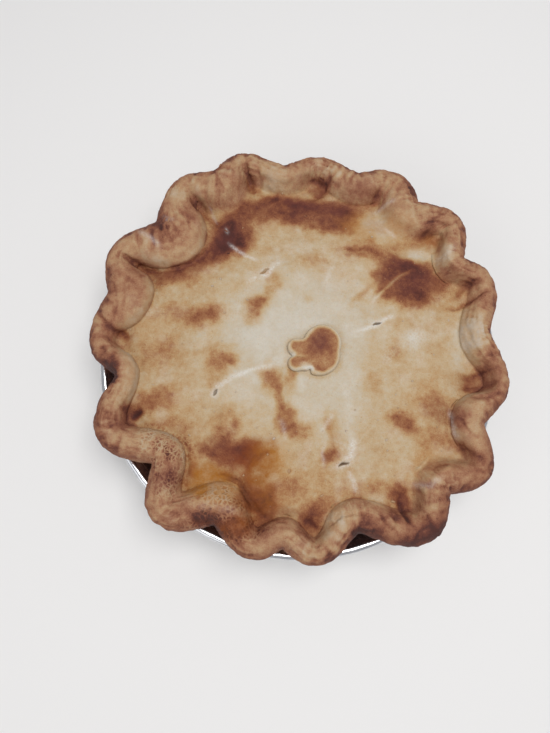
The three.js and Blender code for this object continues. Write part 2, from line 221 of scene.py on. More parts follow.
# White flour and stretched dough: points of a line, half width, amount.
STRETCHED = [
    ([(-39, 59), (-34, 53.5), (-28, 50), (-22, 46)], 0.9, 0.6),
    ([(-28, 35), (-23, 38)], 0.6, 0.5),
    ([(-22, 37), (-18, 38), (-14, 43.5), (-9, 46)], 1.3, 0.6),
    ([(-47, -28), (-42, -22.5), (-36, -18), (-28, -14.5), (-12, -11)], 1.1, 0.6),
    ([(-45, -22), (-40, -21.5)], 1.2, 0.6),
    ([(28, 6.5), (35, 8.5), (40, 10), (46, 14.5), (51, 15.5)], 1.2, 0.7),
    ([(20, -61), (24.5, -58), (26, -53), (26, -48)], 1.8, 0.6),
    ([(23, -64), (26, -70), (28, -76)], 1.1, 0.45),
    ([(11, -64), (10.5, -57), (12, -50)], 0.9, 0.35),
    ([(9, -46), (13, -41), (16, -36)], 1.2, 0.4),
    ([(14, 31), (15, 38), (19, 46)], 1.8, 0.25),
    ([(21, -18), (24, -30), (23, -44), (27, -56)], 2.2, 0.22),
    ([(38, 22), (42, 27)], 1.4, 0.3),
    ([(-8, -50), (-9, -43), (-12, -39)], 1.2, 0.3),
    ([(-50, 81), (-48, 76), (-46, 72)], 0.6, 0.3),
    ([(-41, 68), (-39, 65)], 0.7, 0.5),
    ([(41, 77), (47, 81), (54, 83)], 1.4, 0.3),
    ([(48, 68), (54, 62)], 0.9, 0.3),
    ([(76, 47), (80, 51), (84, 55)], 1.8, 0.2),
    ([(56, -72), (63, -72), (68, -68)], 1.4, 0.3),
    ([(77.5, -34), (78, -42), (80, -49)], 0.9, 0.45),
    ([(-88, 64), (-80, 58), (-75, 53)], 1.3, 0.35),
    ([(-75, 72), (-72, 70), (-68, 69)], 1.0, 0.3),
    ([(-46, 104), (-42, 108)], 1.6, 0.3),
    ([(-31, -84), (-42, -82), (-52, -81)], 2.0, 0.12),
]

# Raised seams: points of a line, half width, height, browning.
SEAMS = [
    ([(24, -52), (26, -45), (25, -36)], 0.9, 0.25, -0.05),
    ([(18, -55), (16, -48), (17, -42)], 0.8, 0.25, -0.04),
    ([(27, -58), (32, -62), (38, -63)], 0.9, 0.2, -0.03),
    ([(-4, 60), (4, 56), (12, 58)], 0.9, 0.2, -0.04),
    ([(-62, 6), (-54, 4), (-46, 8)], 0.9, 0.2, -0.03),
    ([(56, -66), (62, -62), (66, -56)], 0.7, 0.3, -0.1),
    ([(54, -60), (60, -64), (64, -70)], 0.7, 0.3, -0.1),
    ([(66, -66), (72, -64), (76, -60)], 0.7, 0.25, -0.08),
    ([(-61, -46), (-56.5, -54), (-55, -62), (-57, -70)], 1.5, 0.5, 0.2),
    ([(-39, -32), (-39, -40), (-38, -52)], 1.6, 0.5, -0.06),
    ([(38, -88), (42, -86.5), (44, -90), (41, -93)], 1.2, 0.6, -0.12),
    ([(47, -79), (47.5, -85), (50, -91)], 1.1, 0.5, -0.1),
    ([(-8, -12), (-9.5, -18), (-9, -28), (-7, -33)], 0.9, 0.45, -0.12),
    ([(40, 26), (47, 32), (54, 38), (62, 43)], 0.8, 0.5, -0.3),
    ([(-37, -36), (-36, -42), (-33, -48), (-29, -54)], 1.1, 0.4, -0.12),
    ([(-46, -60), (-36, -62), (-28, -68), (-24, -76)], 1.3, 0.35, 0.1),
    ([(15, -36), (13, -41), (10, -46)], 1.2, 0.35, -0.05),
]

# Folds in the dough: points of a line, half width, depth, browning, how far its left laps over its right.
# The browning along a fold is partly painted shade in its crease.
FOLDS = [
    ([(-73, 71), (-70, 68), (-66, 63)], 0.6, 1.0, 0.18, 0.5),
    ([(-77, 67), (-74, 64), (-71, 58)], 0.6, 1.0, 0.16, 0.5),
    ([(-81, 62), (-79, 58), (-77, 52)], 0.6, 0.9, 0.14, 0.4),
    ([(-66, 75), (-63, 72), (-60, 67)], 0.6, 0.9, 0.14, 0.5),
    ([(-62, 84), (-58, 80), (-56, 75)], 0.6, 1.0, 0.18, -0.5),
    ([(-54, 88), (-51, 83), (-49, 77)], 0.6, 0.8, 0.14, -0.4),
    ([(-104, 36), (-99, 33), (-97, 26)], 0.6, 0.8, 0.14, 0.4),
    ([(-104, 26), (-99, 22), (-98, 15)], 0.6, 0.8, 0.14, 0.4),
    ([(20, 104), (17, 100), (18, 92)], 0.6, 1.0, 0.18, 0.5),
    ([(28, 104), (25, 98), (26, 91)], 0.6, 0.8, 0.14, 0.4),
    ([(58, 98), (52, 93), (48, 86)], 0.6, 0.9, 0.14, -0.4),
    ([(90, 72), (84, 68), (78, 67)], 0.6, 0.9, 0.16, 0.5),
    ([(84, 78), (78, 73), (71, 70)], 0.6, 0.9, 0.16, 0.5),
    ([(100, -2), (96, 5), (96, 14)], 0.6, 0.8, 0.12, 0.4),
    ([(90, -50), (84, -46), (80, -38)], 0.6, 0.7, 0.1, -0.4),
    ([(72, -84), (66, -84), (58, -88)], 0.7, 1.0, 0.16, 0.5),
    ([(78, -80), (70, -78), (60, -80)], 0.7, 1.0, 0.16, 0.5),
    ([(54, -99), (56, -94), (63, -90)], 0.6, 0.9, 0.16, 0.5),
    ([(-97, 50), (-90, 47.5), (-84, 44.5), (-75, 42.5)], 1.2, 2.0, 0.3, 1.2),
    ([(-75, 42.5), (-66, 43.8), (-58, 47), (-52, 52), (-49, 60)], 1.3, 1.3, 0.2, 0.9),
    ([(-94, 44), (-86, 40), (-82, 36)], 1.0, 0.9, 0.14, 0.6),
    ([(-100, 40), (-94, 38), (-89, 33)], 0.9, 0.6, 0.1, 0.4),
    ([(-69, 78), (-62, 73), (-57, 69)], 0.8, 1.0, 0.16, 0.6),
    ([(-72, 72), (-66, 70), (-61, 66)], 0.8, 0.7, 0.1, 0.4),
    ([(-62, 88), (-55, 80), (-48, 73), (-43, 69)], 1.6, 1.6, 0.22, -0.6),
    ([(-30, 110), (-29, 102), (-26, 94), (-23, 90.5)], 1.5, 1.9, 0.26, 0.5),
    ([(-22, 90.5), (-21, 96), (-23.5, 106)], 0.9, 0.9, 0.16, -0.3),
    ([(4, 97), (11, 98), (15, 94), (13, 89), (7, 87)], 1.4, 1.5, 0.22, 0.4),
    ([(5, 93), (9, 92.5), (11, 90)], 1.0, 0.7, 0.16, 0.2),
    ([(50, 101), (47, 92), (43, 84)], 1.0, 1.1, 0.16, 0.6),
    ([(61, 97), (56, 90), (53, 83)], 0.9, 0.8, 0.1, 0.4),
    ([(66, 73), (73, 75.5), (81, 74)], 0.9, 0.8, 0.14, 0.5),
    ([(66, 67.5), (74, 70), (83, 68)], 0.9, 0.8, 0.14, 0.5),
    ([(64, 61), (72, 64), (79, 61)], 1.6, 0.8, 0.14, 0.3),
    ([(86, 66), (90, 59), (88, 53)], 0.9, 0.7, 0.12, 0.4),
    ([(21, 57), (28, 54.5), (37.5, 55), (47, 50)], 1.0, 0.7, 0.16, 0.5),
    ([(104, 31), (94, 26), (86, 21.5), (81, 21)], 1.3, 1.6, 0.24, 0.7),
    ([(99, 37), (91, 34), (86, 28)], 1.3, 1.4, 0.2, 0.6),
    ([(88, 15), (87, 5), (89, -4)], 0.8, 0.7, 0.08, -0.4),
    ([(93, 16), (91, 6), (92, -4)], 0.8, 0.6, 0.08, -0.3),
    ([(83, -14), (90, -17), (100, -13)], 1.2, 1.4, 0.2, 0.7),
    ([(85, -22), (93, -23), (103, -18)], 1.2, 1.2, 0.18, 0.6),
    ([(86, -28), (95, -28), (104, -25)], 1.1, 1.1, 0.18, 0.6),
    ([(79, -51), (85, -56), (93, -61)], 1.4, 1.2, 0.18, 0.5),
    ([(85, -65), (91, -65), (97, -60)], 1.0, 1.0, 0.2, 0.5),
    ([(76.5, -32), (76.5, -42), (79, -52)], 1.2, 1.1, 0.04, -0.5),
    ([(82, -33), (82, -41), (85, -49)], 0.8, 0.5, 0.06, -0.3),
    ([(49, -79), (50.5, -85), (53, -91)], 1.4, 1.5, 0.24, 0.7),
    ([(37, -88), (43, -86), (47, -91)], 1.1, 1.7, 0.25, 0.5),
    ([(45, -94), (40, -90), (37, -83)], 0.9, 1.2, 0.2, -0.5),
    ([(60, -84), (63, -92), (68, -98)], 0.9, 0.8, 0.12, 0.4),
    ([(10, -92), (17, -88), (23, -85.5), (33, -84.5)], 1.2, 1.1, 0.05, -0.6),
    ([(-2, -86), (4, -90), (9, -95)], 1.6, 1.2, 0.16, 0.5),
    ([(-45, -66.5), (-38, -67.5), (-31, -71), (-27, -79), (-20, -87), (-9, -89)], 1.2, 1.5, 0.26, -0.6),
    ([(-15, -55), (-20.8, -58), (-27, -64)], 0.8, 0.8, 0.1, 0.5),
    ([(-29, -49), (-21, -52), (-17, -56)], 0.8, 0.6, 0.06, -0.4),
    ([(-81.5, -33), (-85, -36.5), (-89, -37.5)], 1.7, 1.8, 0.4, 0.3),
    ([(-97, 29), (-96.5, 20), (-99, 10)], 0.8, 0.6, 0.1, 0.35),
    ([(-93, 36), (-92.5, 26), (-94, 16)], 0.7, 0.5, 0.08, 0.3),
    ([(-106, 14), (-97, 7.5), (-91, 6)], 1.5, 1.9, 0.3, 0.7),
    ([(-104, -32), (-99, -36), (-94, -36)], 1.0, 0.7, 0.1, 0.4),
    ([(-104, -42), (-97, -44), (-92, -42)], 1.0, 0.7, 0.1, 0.4),
    ([(-78, -84), (-70, -82), (-64, -78)], 1.0, 0.7, 0.1, 0.4),
]

# Soft dents and swellings on the lid: x, y, long half, short half, turn, height.
SWELLINGS = [
    (-25.5, 99, 3, 9, 15, 0.7), (-25, 18, 12, 8, 60, 0.4), (-50, 16, 16, 8, 0, 0.5),
    (-36, 30, 4, 3, 40, -0.5), (-36.5, 25, 3, 2, 0, -0.4), (62, 37, 20, 13, 18, 0.9),
    (52, -42, 11, 7, -20, 0.5), (-34, -56, 14, 9, 10, 0.8), (-44, -6, 12, 9, -20, 0.4),
    (-50, 75, 6, 4, -40, -0.9), (68, 50, 7, 4, -20, -0.5), (38, 66, 15, 7, -10, 0.5),
    (15, 76, 18, 6, -8, 0.5), (14, -20, 20, 8, 80, -0.3), (26, 34, 18, 8, 70, 0.3),
    (-4, -42, 9, 6, 0, 0.35), (69, -31, 12, 7, 0, 0.4), (-75, -28, 11, 8, 0, 0.35),
]

# Porous, crackled dough: x, y, long half, short half, turn, amount.
POROUS = [
    (-69, -54, 15, 10, -40, 1.0), (-66, -70, 10, 10, 0, 0.8), (-40, -79, 15, 12, 0, 1.0),
    (-30, -92, 14, 7, 0, 0.9), (-47, -90, 12, 6, 0, 0.8), (59, 4, 8, 6, 0, 0.4), (48, -4, 5, 8, 0, 0.3),
]

# ---------------------------------------------------------------- numbers over many points at once

NOISE_TABLE = 32  # how many cells along each side the table of noise has before it repeats
OVAL_FADE = (1.5, 0.15)  # how far out a soft oval starts and where it is full, in its half sizes


def smoothstep(low, high, value):
    part = np.clip((value - low) / (high - low), 0, 1)
    return part * part * (3 - 2 * part)


def smooth_max(a, b, blend):
    near = np.maximum(blend - np.abs(a - b), 0) / blend
    return np.maximum(a, b) + near * near * blend / 4


def bell(distance, width):
    """1 where the distance is 0, fading out at about twice the width."""
    return np.exp(-((distance / width) ** 2))


def turned(x, y, turn):
    """How far offsets reach along a direction and across it."""
    c, s = math.cos(math.radians(turn)), math.sin(math.radians(turn))
    return x * c + y * s, y * c - x * s


def noise(points, width, seed):
    """Smooth seeded noise from -1 to 1, in waves about as wide as the given width."""
    table = np.random.default_rng(seed).uniform(-1, 1, (NOISE_TABLE,) * 3)
    place = points / width
    cell = np.floor(place).astype(int)
    part = smoothstep(0, 1, place - cell)
    total = np.zeros(len(points))
    for corner in itertools.product((0, 1), repeat=3):
        weight = np.where(corner, part, 1 - part).prod(1)
        total += weight * table[tuple((cell + corner).T % NOISE_TABLE)]
    return total


def rough(points, width, seed, octaves=3):
    """Noise with finer and weaker noise on top."""
    total = np.zeros(len(points))
    for octave in range(octaves):
        total += noise(points, width / 2**octave, seed + octave) / 2**octave
    return total


def wobbled(points, amount, width, seed):
    """The points' plan, shifted about, so that what is drawn on it gets an uneven outline."""
    plan = points[:, :2].copy()
    for axis in range(2):
        plan[:, axis] += amount * rough(points, width, seed + 10 * axis)
    return plan


def oval(plan, x, y, long, short, turn):
    """1 in the middle of a soft oval and 0 outside it."""
    along, across = turned(plan[:, 0] - x, plan[:, 1] - y, turn)
    return smoothstep(*OVAL_FADE, np.hypot(along / long, across / short))


def ovals(plan, rows):
    """The sum of soft ovals, where each row ends in its amount."""
    return sum(amount * oval(plan, *place) for *place, amount in rows)


def strongest(layers):
    return np.maximum.reduce(list(layers))


def beside_line(plan, line, reach):
    """For the points near a line: which they are, how far from it, on which side and how far along."""
    line = np.array(line, dtype=float)
    low, high = line.min(0) - reach, line.max(0) + reach
    which = np.flatnonzero(((plan > low) & (plan < high)).all(1))
    near = plan[which]
    best, side, part = np.full(len(near), np.inf), np.ones(len(near)), np.zeros(len(near))
    for i, (start, end) in enumerate(zip(line, line[1:])):
        along = end - start
        at = (near - start) @ along / (along @ along)
        away = near - start - np.clip(at, 0, 1)[:, None] * along
        distance = np.linalg.norm(away, axis=1)
        closer = distance < best
        best[closer] = distance[closer]
        side[closer] = np.sign(along[0] * away[closer, 1] - along[1] * away[closer, 0])
        part[closer] = (i + np.clip(at, 0, 1)[closer]) / (len(line) - 1)
    return which, best, side, part


def stroke(plan, line, half_width):
    """1 along a line, fading out to both sides and at its ends."""
    which, distance, _, part = beside_line(plan, line, 3 * half_width)
    made = np.zeros(len(plan))
    made[which] = bell(distance, half_width)
    for from_end in (part, 1 - part):
        made[which] *= 0.25 + 0.75 * smoothstep(0, 0.2, from_end)
    return made


def lap(plan, line, half_width):
    """1 just left of a line, -1 just right of it, and 0 far away and at its ends."""
    which, distance, side, part = beside_line(plan, line, 6 * half_width)
    near = distance / half_width
    made = np.zeros(len(plan))
    made[which] = side * smoothstep(0, 1.2, near) * bell(near, 2.4)
    for from_end in (part, 1 - part):
        made[which] *= smoothstep(0, 0.3, from_end)
    return made


# ---------------------------------------------------------------- the pie's main form, as in the solids


def edge_knots():
    """The edge's lobes and notches: angle, middle, half width, crest height, 1 at a notch, softness."""
    knots = []
    for i, (lobe, outer, pocket, notch, notch_outer, notch_inner) in enumerate(FLUTES):
        uneven = CREST_UNEVENNESS * math.sin(2.4 * i)
        turn = notch + 360 if notch < lobe else notch
        for angle, far, near, crest, is_notch, softness in (
            (lobe, outer, pocket, LOBE_CREST_HEIGHT + uneven, 0, LOBE_SOFTNESS[i]),
            (turn, notch_outer, notch_inner, NOTCH_CREST_HEIGHT - abs(uneven), 1, NOTCH_SOFTNESS[i]),
        ):
            knots.append((angle, (far + near) / 2, (far - near) / 2, crest, is_notch, softness))
    knots.append((knots[0][0] + 360,) + knots[0][1:])
    return np.array(knots)


def edge_balls():
    """Balls along the edge's wavy middle line: x, y, radius, crest height, how much of a notch, softness."""
    balls = []
    knots = edge_knots()
    for start, end in zip(knots, knots[1:]):
        steps = math.ceil(end[0] - start[0])
        for step in range(steps):
            turn = math.radians(start[0] + (end[0] - start[0]) * step / steps)
            ease = (1 - math.cos(math.pi * step / steps)) / 2
            middle, *rest = start[1:] + (end[1:] - start[1:]) * ease
            balls.append((middle * math.cos(turn), middle * math.sin(turn), *rest))
    return np.array(balls)


BALLS = edge_balls()


def edge_height(x, y):
    """The rolled edge's height, where the soft flutes rise more gently from the lid than in the solids."""
    height = np.full(x.shape, float(ROLL_MIDDLE_HEIGHT))
    out = np.hypot(x, y)
    for ball_x, ball_y, radius, crest, _, soft in BALLS:
        inside = np.maximum(1 - ((x - ball_x) ** 2 + (y - ball_y) ** 2) / radius**2, 0)
        inward = smoothstep(0, 0.5, (math.hypot(ball_x, ball_y) - out) / radius)
        rise = (crest - ROLL_MIDDLE_HEIGHT) * inside ** (0.5 + soft * inward)
        height = np.maximum(height, ROLL_MIDDLE_HEIGHT + rise)
    return height


def lid_height(x, y):
    radius = np.hypot(x, y)
    dome = LID_CENTRE_HEIGHT - LID_FALL * (radius / LID_FALL_RADIUS) ** LID_FALL_POWER
    waves = 0
    for height, length, turn, shift in LID_WAVES:
        along, _ = turned(x, y, turn)
        waves = waves + height * np.sin(2 * math.pi * along / length + shift)
    return dome + waves * smoothstep(WAVES_START_RADIUS, WAVES_FULL_RADIUS, radius)


def span_of_discs(discs, x, y, turns):
    """How far rays from x, y at these angles in radians travel to enter and leave a group of discs."""
    near, far = np.full(len(turns), np.inf), np.zeros(len(turns))
    for disc_x, disc_y, radius in discs:
        forward = (disc_x - x) * np.cos(turns) + (disc_y - y) * np.sin(turns)
        sideways = (disc_x - x) * np.sin(turns) - (disc_y - y) * np.cos(turns)
        hit = (forward > 0) & (np.abs(sideways) < radius)
        half = np.sqrt(np.maximum(radius**2 - sideways**2, 0))
        near = np.where(hit, np.minimum(near, forward - half), near)
        far = np.where(hit, np.maximum(far, forward + half), far)
    return near, far


def tin_wall_radius(z):
    up = (z - FOIL_THICKNESS) / (TIN_HEIGHT - FOIL_THICKNESS)
    return TIN_BASE_RADIUS + (TIN_WALL_TOP_RADIUS - TIN_BASE_RADIUS) * up


# ---------------------------------------------------------------- meshes from rings

UPPER_SIDE = 42  # the height above which a face near a plan line belongs to the crust's upper side
# What the dough's material reads at each vertex, besides its browning.
DOUGH_LAYERS = ("rolled", "juice", "yellow", "dark", "flour", "pores", "slit")
MOST_BROWNED = 1.1


def ring_at(turns, radius, z):
    """Points at these angles in radians, at one radius and height or at one for each angle."""
    radius, z = (np.broadcast_to(v, turns.shape) for v in (radius, z))
    return np.stack([radius * np.cos(turns), radius * np.sin(turns), z], 1)


def ring_faces(first, count, next_first, next_count):
    """Faces between two rings of vertices, where the next ring has as many or half as many."""
    step = np.arange(next_count)
    after = (step + 1) % next_count
    inner, inner_after = next_first + step, next_first + after
    if count == next_count:
        return np.stack([first + step, first + after, inner_after, inner], 1).tolist()
    left, middle, right = (first + (2 * step + k) % count for k in range(3))
    faces = np.stack([left, middle, inner], 1).tolist()
    faces += np.stack([middle, inner_after, inner], 1).tolist()
    faces += np.stack([middle, right, inner_after], 1).tolist()
    return faces


def mesh_of_rings(name, rings):
    """A closed surface through rings of points, in order from the middle of its base to that of its top."""
    points = np.concatenate(rings + [rings[0].mean(0)[None], rings[-1].mean(0)[None]])
    starts = np.cumsum([0] + [len(ring) for ring in rings])
    faces = []
    for i in range(len(rings) - 1):
        a, b = len(rings[i]), len(rings[i + 1])
        if a >= b:
            faces += ring_faces(starts[i], a, starts[i + 1], b)
        else:
            faces += [face[::-1] for face in ring_faces(starts[i + 1], b, starts[i], a)]
    for ring, pole, flip in ((0, -2, False), (len(rings) - 1, -1, True)):
        step = np.arange(len(rings[ring]))
        after = (step + 1) % len(rings[ring])
        pole_index = np.full(len(step), len(points) + pole)
        fan = np.stack([starts[ring] + after, starts[ring] + step, pole_index], 1).tolist()
        faces += [face[::-1] for face in fan] if flip else fan
    mesh = bpy.data.meshes.new(name)
    mesh.from_pydata((points * MM).tolist(), [], faces)
    mesh.update()
    mesh.validate()
    return mesh


def vectors(things, name):
    """One named vector of each vertex, normal or face, as rows."""
    flat = np.empty(3 * len(things))
    things.foreach_get(name, flat)
    return flat.reshape(-1, 3)


def points_of(mesh):
    return vectors(mesh.vertices, "co") / MM


def move_points(mesh, points):
    mesh.vertices.foreach_set("co", (points * MM).ravel())
    mesh.update()


def store(mesh, name, values):
    """Keeps a number for each vertex, for the material to read."""
    layer = mesh.attributes.new(name, "FLOAT", "POINT")
    layer.data.foreach_set("value", np.asarray(values, dtype=np.float32))


def store_dough(mesh, browning, **layers):
    """Keeps the browning and the other layers of dough, where one that isn't given is 0."""
    store(mesh, "browning", np.clip(browning, 0, MOST_BROWNED))
    for name in DOUGH_LAYERS:
        store(mesh, name, np.clip(layers.get(name, np.zeros(len(mesh.vertices))), 0, 1))


def piece(name, mesh, material, slot, *replaced):
    mesh.polygons.foreach_set("use_smooth", [True] * len(mesh.polygons))
    mesh.materials.append(material)
    thing = bpy.data.objects.new(name, mesh)
    bpy.context.scene.collection.objects.link(thing)
    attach(thing, "root")
    if replaced:
        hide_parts(*replaced)
    return thing


def refine(mesh, lines, reach, cuts):
    """Splits the faces near some plan lines into smaller ones."""
    middles = vectors(mesh.polygons, "center") / MM
    near = np.zeros(len(middles), dtype=bool)
    for line in lines:
        which, distance, *_ = beside_line(middles[:, :2], line, reach)
        near[which[distance < reach]] = True
    near &= middles[:, 2] > UPPER_SIDE
    shape = bmesh.new()
    shape.from_mesh(mesh)
    shape.faces.ensure_lookup_table()
    edges = {edge for i in np.flatnonzero(near) for edge in shape.faces[i].edges}
    bmesh.ops.subdivide_edges(shape, edges=list(edges), cuts=cuts, use_grid_fill=True)
    bmesh.ops.triangulate(shape, faces=[face for face in shape.faces if len(face.verts) > 4])
    shape.to_mesh(mesh)
    shape.free()


def keep_inside(points, node, margin):
    """Eases points in where they would come out of a CAD node's box."""
    eased = points.copy()
    for side, corner in zip((-1, 1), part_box(node)):
        over = side * (points - np.array(corner) / MM) + 2 * margin
        eased -= side * np.where(over > 0, over - margin * np.tanh(over / margin), 0)
    return eased


# ---------------------------------------------------------------- the crust

COLUMNS = 768
LID_STEP = 1.35
CREST_ROWS = 46
UNDERSIDE_ROWS = 15
SIDE_HEIGHTS = (37.8, 33, 28, 22, 12, 4)
SIDE_CLEARANCE = PLEAT_DEPTH + GAP + 0.1
# From what part of the way out the lid's rings have every column, every second, fourth and eighth one.
LID_THINNING = ((0.46, 1), (0.23, 2), (0.1, 4), (0, 8))
# How much wider the lid blends into the edge beside it, and what the softest flutes add to that.
EDGE_BLEND = 2
SOFT_EDGE_BLEND = 4
TOP_HEIGHT = 45  # the height above which the slits and their flour lie
SEAM_FADE = 5  # how near the two ends of the edge's middle line its wrinkles fade out
# How strongly the listed heights and depths of seams, folds and laps of skin show.
SEAM_RISE = 1.4
FOLD_SINK = 0.55
LAP_RISE = 0.7
# The dent in the lid inside each lobe: how far in from its pocket, half sizes inward and along, depth.
POCKET_DENT = (5, 5, 7, 0.9)
# Layer lines on the edge's outer side: height from their middle, half width, depth.
LAYER_LINES = ((0, 0.6, 0.8), (2, 0.5, 0.4), (-2, 0.5, 0.4))
LAYERS_HEIGHT = 44.5
FLOURY_SPOT = (59, 4, 7, 6, 0)  # x, y, long half, short half, turn


def crust_rings():
    """The crust's rings from the lid's middle out over the edge, under it and down the side to the base."""
    turns = np.arange(COLUMNS) * 2 * math.pi / COLUMNS
    around = np.stack([np.cos(turns), np.sin(turns)])
    near, far = span_of_discs(BALLS[:, :3], 0, 0, turns)
    ball_turns = np.arctan2(BALLS[:, 1], BALLS[:, 0]) % (2 * math.pi)
    soft = np.interp(turns, *zip(*sorted(zip(ball_turns, BALLS[:, 5]))), period=2 * math.pi)
    edge_blend = EDGE_BLEND + SOFT_EDGE_BLEND * soft
    rings = []
    lid_rows = round(float(near.mean()) / LID_STEP)
    for row in range(1, lid_rows + 1):
        part = row / lid_rows
        radius = near * part
        blend = LID_BLEND + edge_blend * smoothstep(0.55, 1, part)
        z = smooth_max(lid_height(*(around * radius)), ROLL_MIDDLE_HEIGHT, blend)
        skip = next(step for start, step in LID_THINNING if part > start)
        rings.append(ring_at(turns, radius, z)[::skip])
    for row in range(1, CREST_ROWS + 1):
        across = (1 - math.cos(math.pi * row / CREST_ROWS)) / 2
        radius = near + (far - near) * across
        x, y = around * radius
        buried = np.minimum(lid_height(x, y), ROLL_MIDDLE_HEIGHT - LID_BLEND + far - radius)
        blend = LID_BLEND + edge_blend * smoothstep(0.65, 0.25, across)
        rings.append(ring_at(turns, radius, smooth_max(buried, edge_height(x, y), blend)))
    for row in range(1, UNDERSIDE_ROWS + 1):
        turn = math.pi / 2 * row / UNDERSIDE_ROWS
        z = ROLL_MIDDLE_HEIGHT + (UNDERSIDE_HEIGHT - ROLL_MIDDLE_HEIGHT) * math.sin(turn)
        rings.append(ring_at(turns, far - UNDERSIDE_TUCK * (1 - math.cos(turn)), z))
    for z in SIDE_HEIGHTS:
        flared = far - UNDERSIDE_TUCK + SIDE_FLARE * (UNDERSIDE_HEIGHT - z)
        rings.append(ring_at(turns, np.minimum(tin_wall_radius(z) - SIDE_CLEARANCE, flared), z)[::2])
    bottom = FOIL_THICKNESS + GAP
    radius = tin_wall_radius(bottom) - PLEAT_DEPTH - GAP - TIN_BASE_ROUND
    rings.append(ring_at(turns, radius, bottom)[::2])
    return rings


class EdgeMap:
    """Where each point lies on the rolled edge."""

    def __init__(self, points):
        x, y = points[:, 0], points[:, 1]
        best = np.full(len(points), np.inf)
        nearest = np.zeros(len(points), dtype=int)
        for i, (ball_x, ball_y, *_) in enumerate(BALLS):
            distance = (x - ball_x) ** 2 + (y - ball_y) ** 2
            closer = distance < best
            best[closer] = distance[closer]
            nearest[closer] = i
        ball = BALLS[nearest]
        ahead = np.roll(BALLS[:, :2], -1, 0) - BALLS[:, :2]
        lengths = np.linalg.norm(ahead, axis=1)
        along = np.concatenate([[0], np.cumsum(lengths)[:-1]])
        tangent = ahead + np.roll(ahead, 1, 0)
        tangent = (tangent / np.linalg.norm(tangent, axis=1)[:, None])[nearest]
        outward = np.hypot(x, y) - np.hypot(ball[:, 0], ball[:, 1])
        self.across = np.sign(outward) * np.sqrt(best) / ball[:, 2]
        self.notch = ball[:, 4]
        self.soft = ball[:, 5]
        self.along = along[nearest] + ((x - ball[:, 0]) * tangent[:, 0] + (y - ball[:, 1]) * tangent[:, 1])
        from_end = np.minimum(self.along, lengths.sum() - self.along)
        self.seamless = smoothstep(0, SEAM_FADE, from_end)
        self.rise = edge_height(x, y) - lid_height(x, y)
        self.on = smoothstep(-0.4 - self.soft, 1.2 + 5 * self.soft, self.rise)
        self.on[np.abs(self.across) > 1.05] = 0
        self.on = np.maximum(self.on, smoothstep(0.3, 0.7, self.across))
        self.wrinkles = self.find_wrinkles(points)

    def find_wrinkles(self, points):
        """Fine ridges across and along the edge, where its skin dried and shrank."""
        flat = np.zeros(len(points))
        bent = self.along + 0.8 * noise(points, 6, 23)
        across = np.stack([bent / 2.3, self.across * 1.3, flat], 1)
        along = np.stack([bent / 9, self.across * 5.5, flat], 1)
        crinkled = smoothstep(-0.35, 0.35, noise(points, 14, 29) + 0.5 * self.across)
        creased = smoothstep(-0.3, 0.3, noise(points, 17, 37))
        ridges = (1 - 2.4 * np.abs(rough(across, 1, 25, 2))) * crinkled
        ridges += 0.7 * (1 - 2.4 * np.abs(rough(along, 1, 33, 2))) * creased
        return ridges * self.on * self.seamless * smoothstep(1.0, 0.6, np.abs(self.across))

    def junction(self, width):
        """1 where the edge's inner side meets the lid, and less at the soft flutes."""
        return bell(self.rise, width) * smoothstep(0.2, -0.2, self.across) * (1 - self.soft)


def crust_relief(points, edge):
    """How far each crust point stands out from or sinks into the plain form."""
    plan = wobbled(points, 0.8, 7, 40)
    relief = 0.35 * rough(points, 16, 1) + 0.14 * rough(points, 4, 5)
    relief += edge.on * (0.3 * rough(points, 9, 11) + 0.12 * rough(points, 2.6, 15, 2))
    relief += ovals(plan, SWELLINGS)
    inward, deep, wide, dent = POCKET_DENT
    for lobe, _, pocket, *_ in FLUTES:
        turn, radius = math.radians(lobe), pocket - inward
        relief -= dent * oval(plan, radius * math.cos(turn), radius * math.sin(turn), deep, wide, lobe)
    for line, half_width, height, _ in SEAMS:
        relief += SEAM_RISE * height * stroke(plan, line, half_width)
    for line, half_width, depth, _, lapped in FOLDS:
        relief -= FOLD_SINK * depth * stroke(plan, line, half_width)
        relief += LAP_RISE * lapped * lap(plan, line, half_width)
    relief -= 0.9 * edge.junction(1.3) * (0.6 + 0.4 * noise(points, 14, 21))
    lip = bell(edge.across + 0.72, 0.17) - 0.9 * bell(edge.across + 0.05, 0.4)
    relief += 0.5 * lip * edge.on * smoothstep(0.3, 0.9, edge.notch) * (1 - edge.soft)
    relief += 0.4 * edge.wrinkles
    return relief * smoothstep(40, 46, points[:, 2]) + outer_relief(points, edge)


def outer_relief(points, edge):
    """Lumps, cracks and layer lines on the edge's outer side."""
    z = points[:, 2]
    cracks = 1 - 2.6 * np.abs(rough(points * (1, 1, 0.45), 5, 141, 3))
    relief = 0.3 * rough(points, 7, 145) + 0.22 * cracks
    relief *= smoothstep(0.7, 1.0, edge.across) * smoothstep(38, 41, z)
    layers = LAYERS_HEIGHT + 1.4 * noise(points, 24, 131) + 0.5 * noise(points, 6, 133)
    low = smoothstep(0.75, 0.95, edge.across) * smoothstep(38.5, 40.5, z)
    for height, half_width, depth in LAYER_LINES:
        broken = smoothstep(-0.5, 0.3, noise(points, 15, 137 + height))
        relief -= depth * bell(z - layers - height, half_width) * low * broken
    return relief


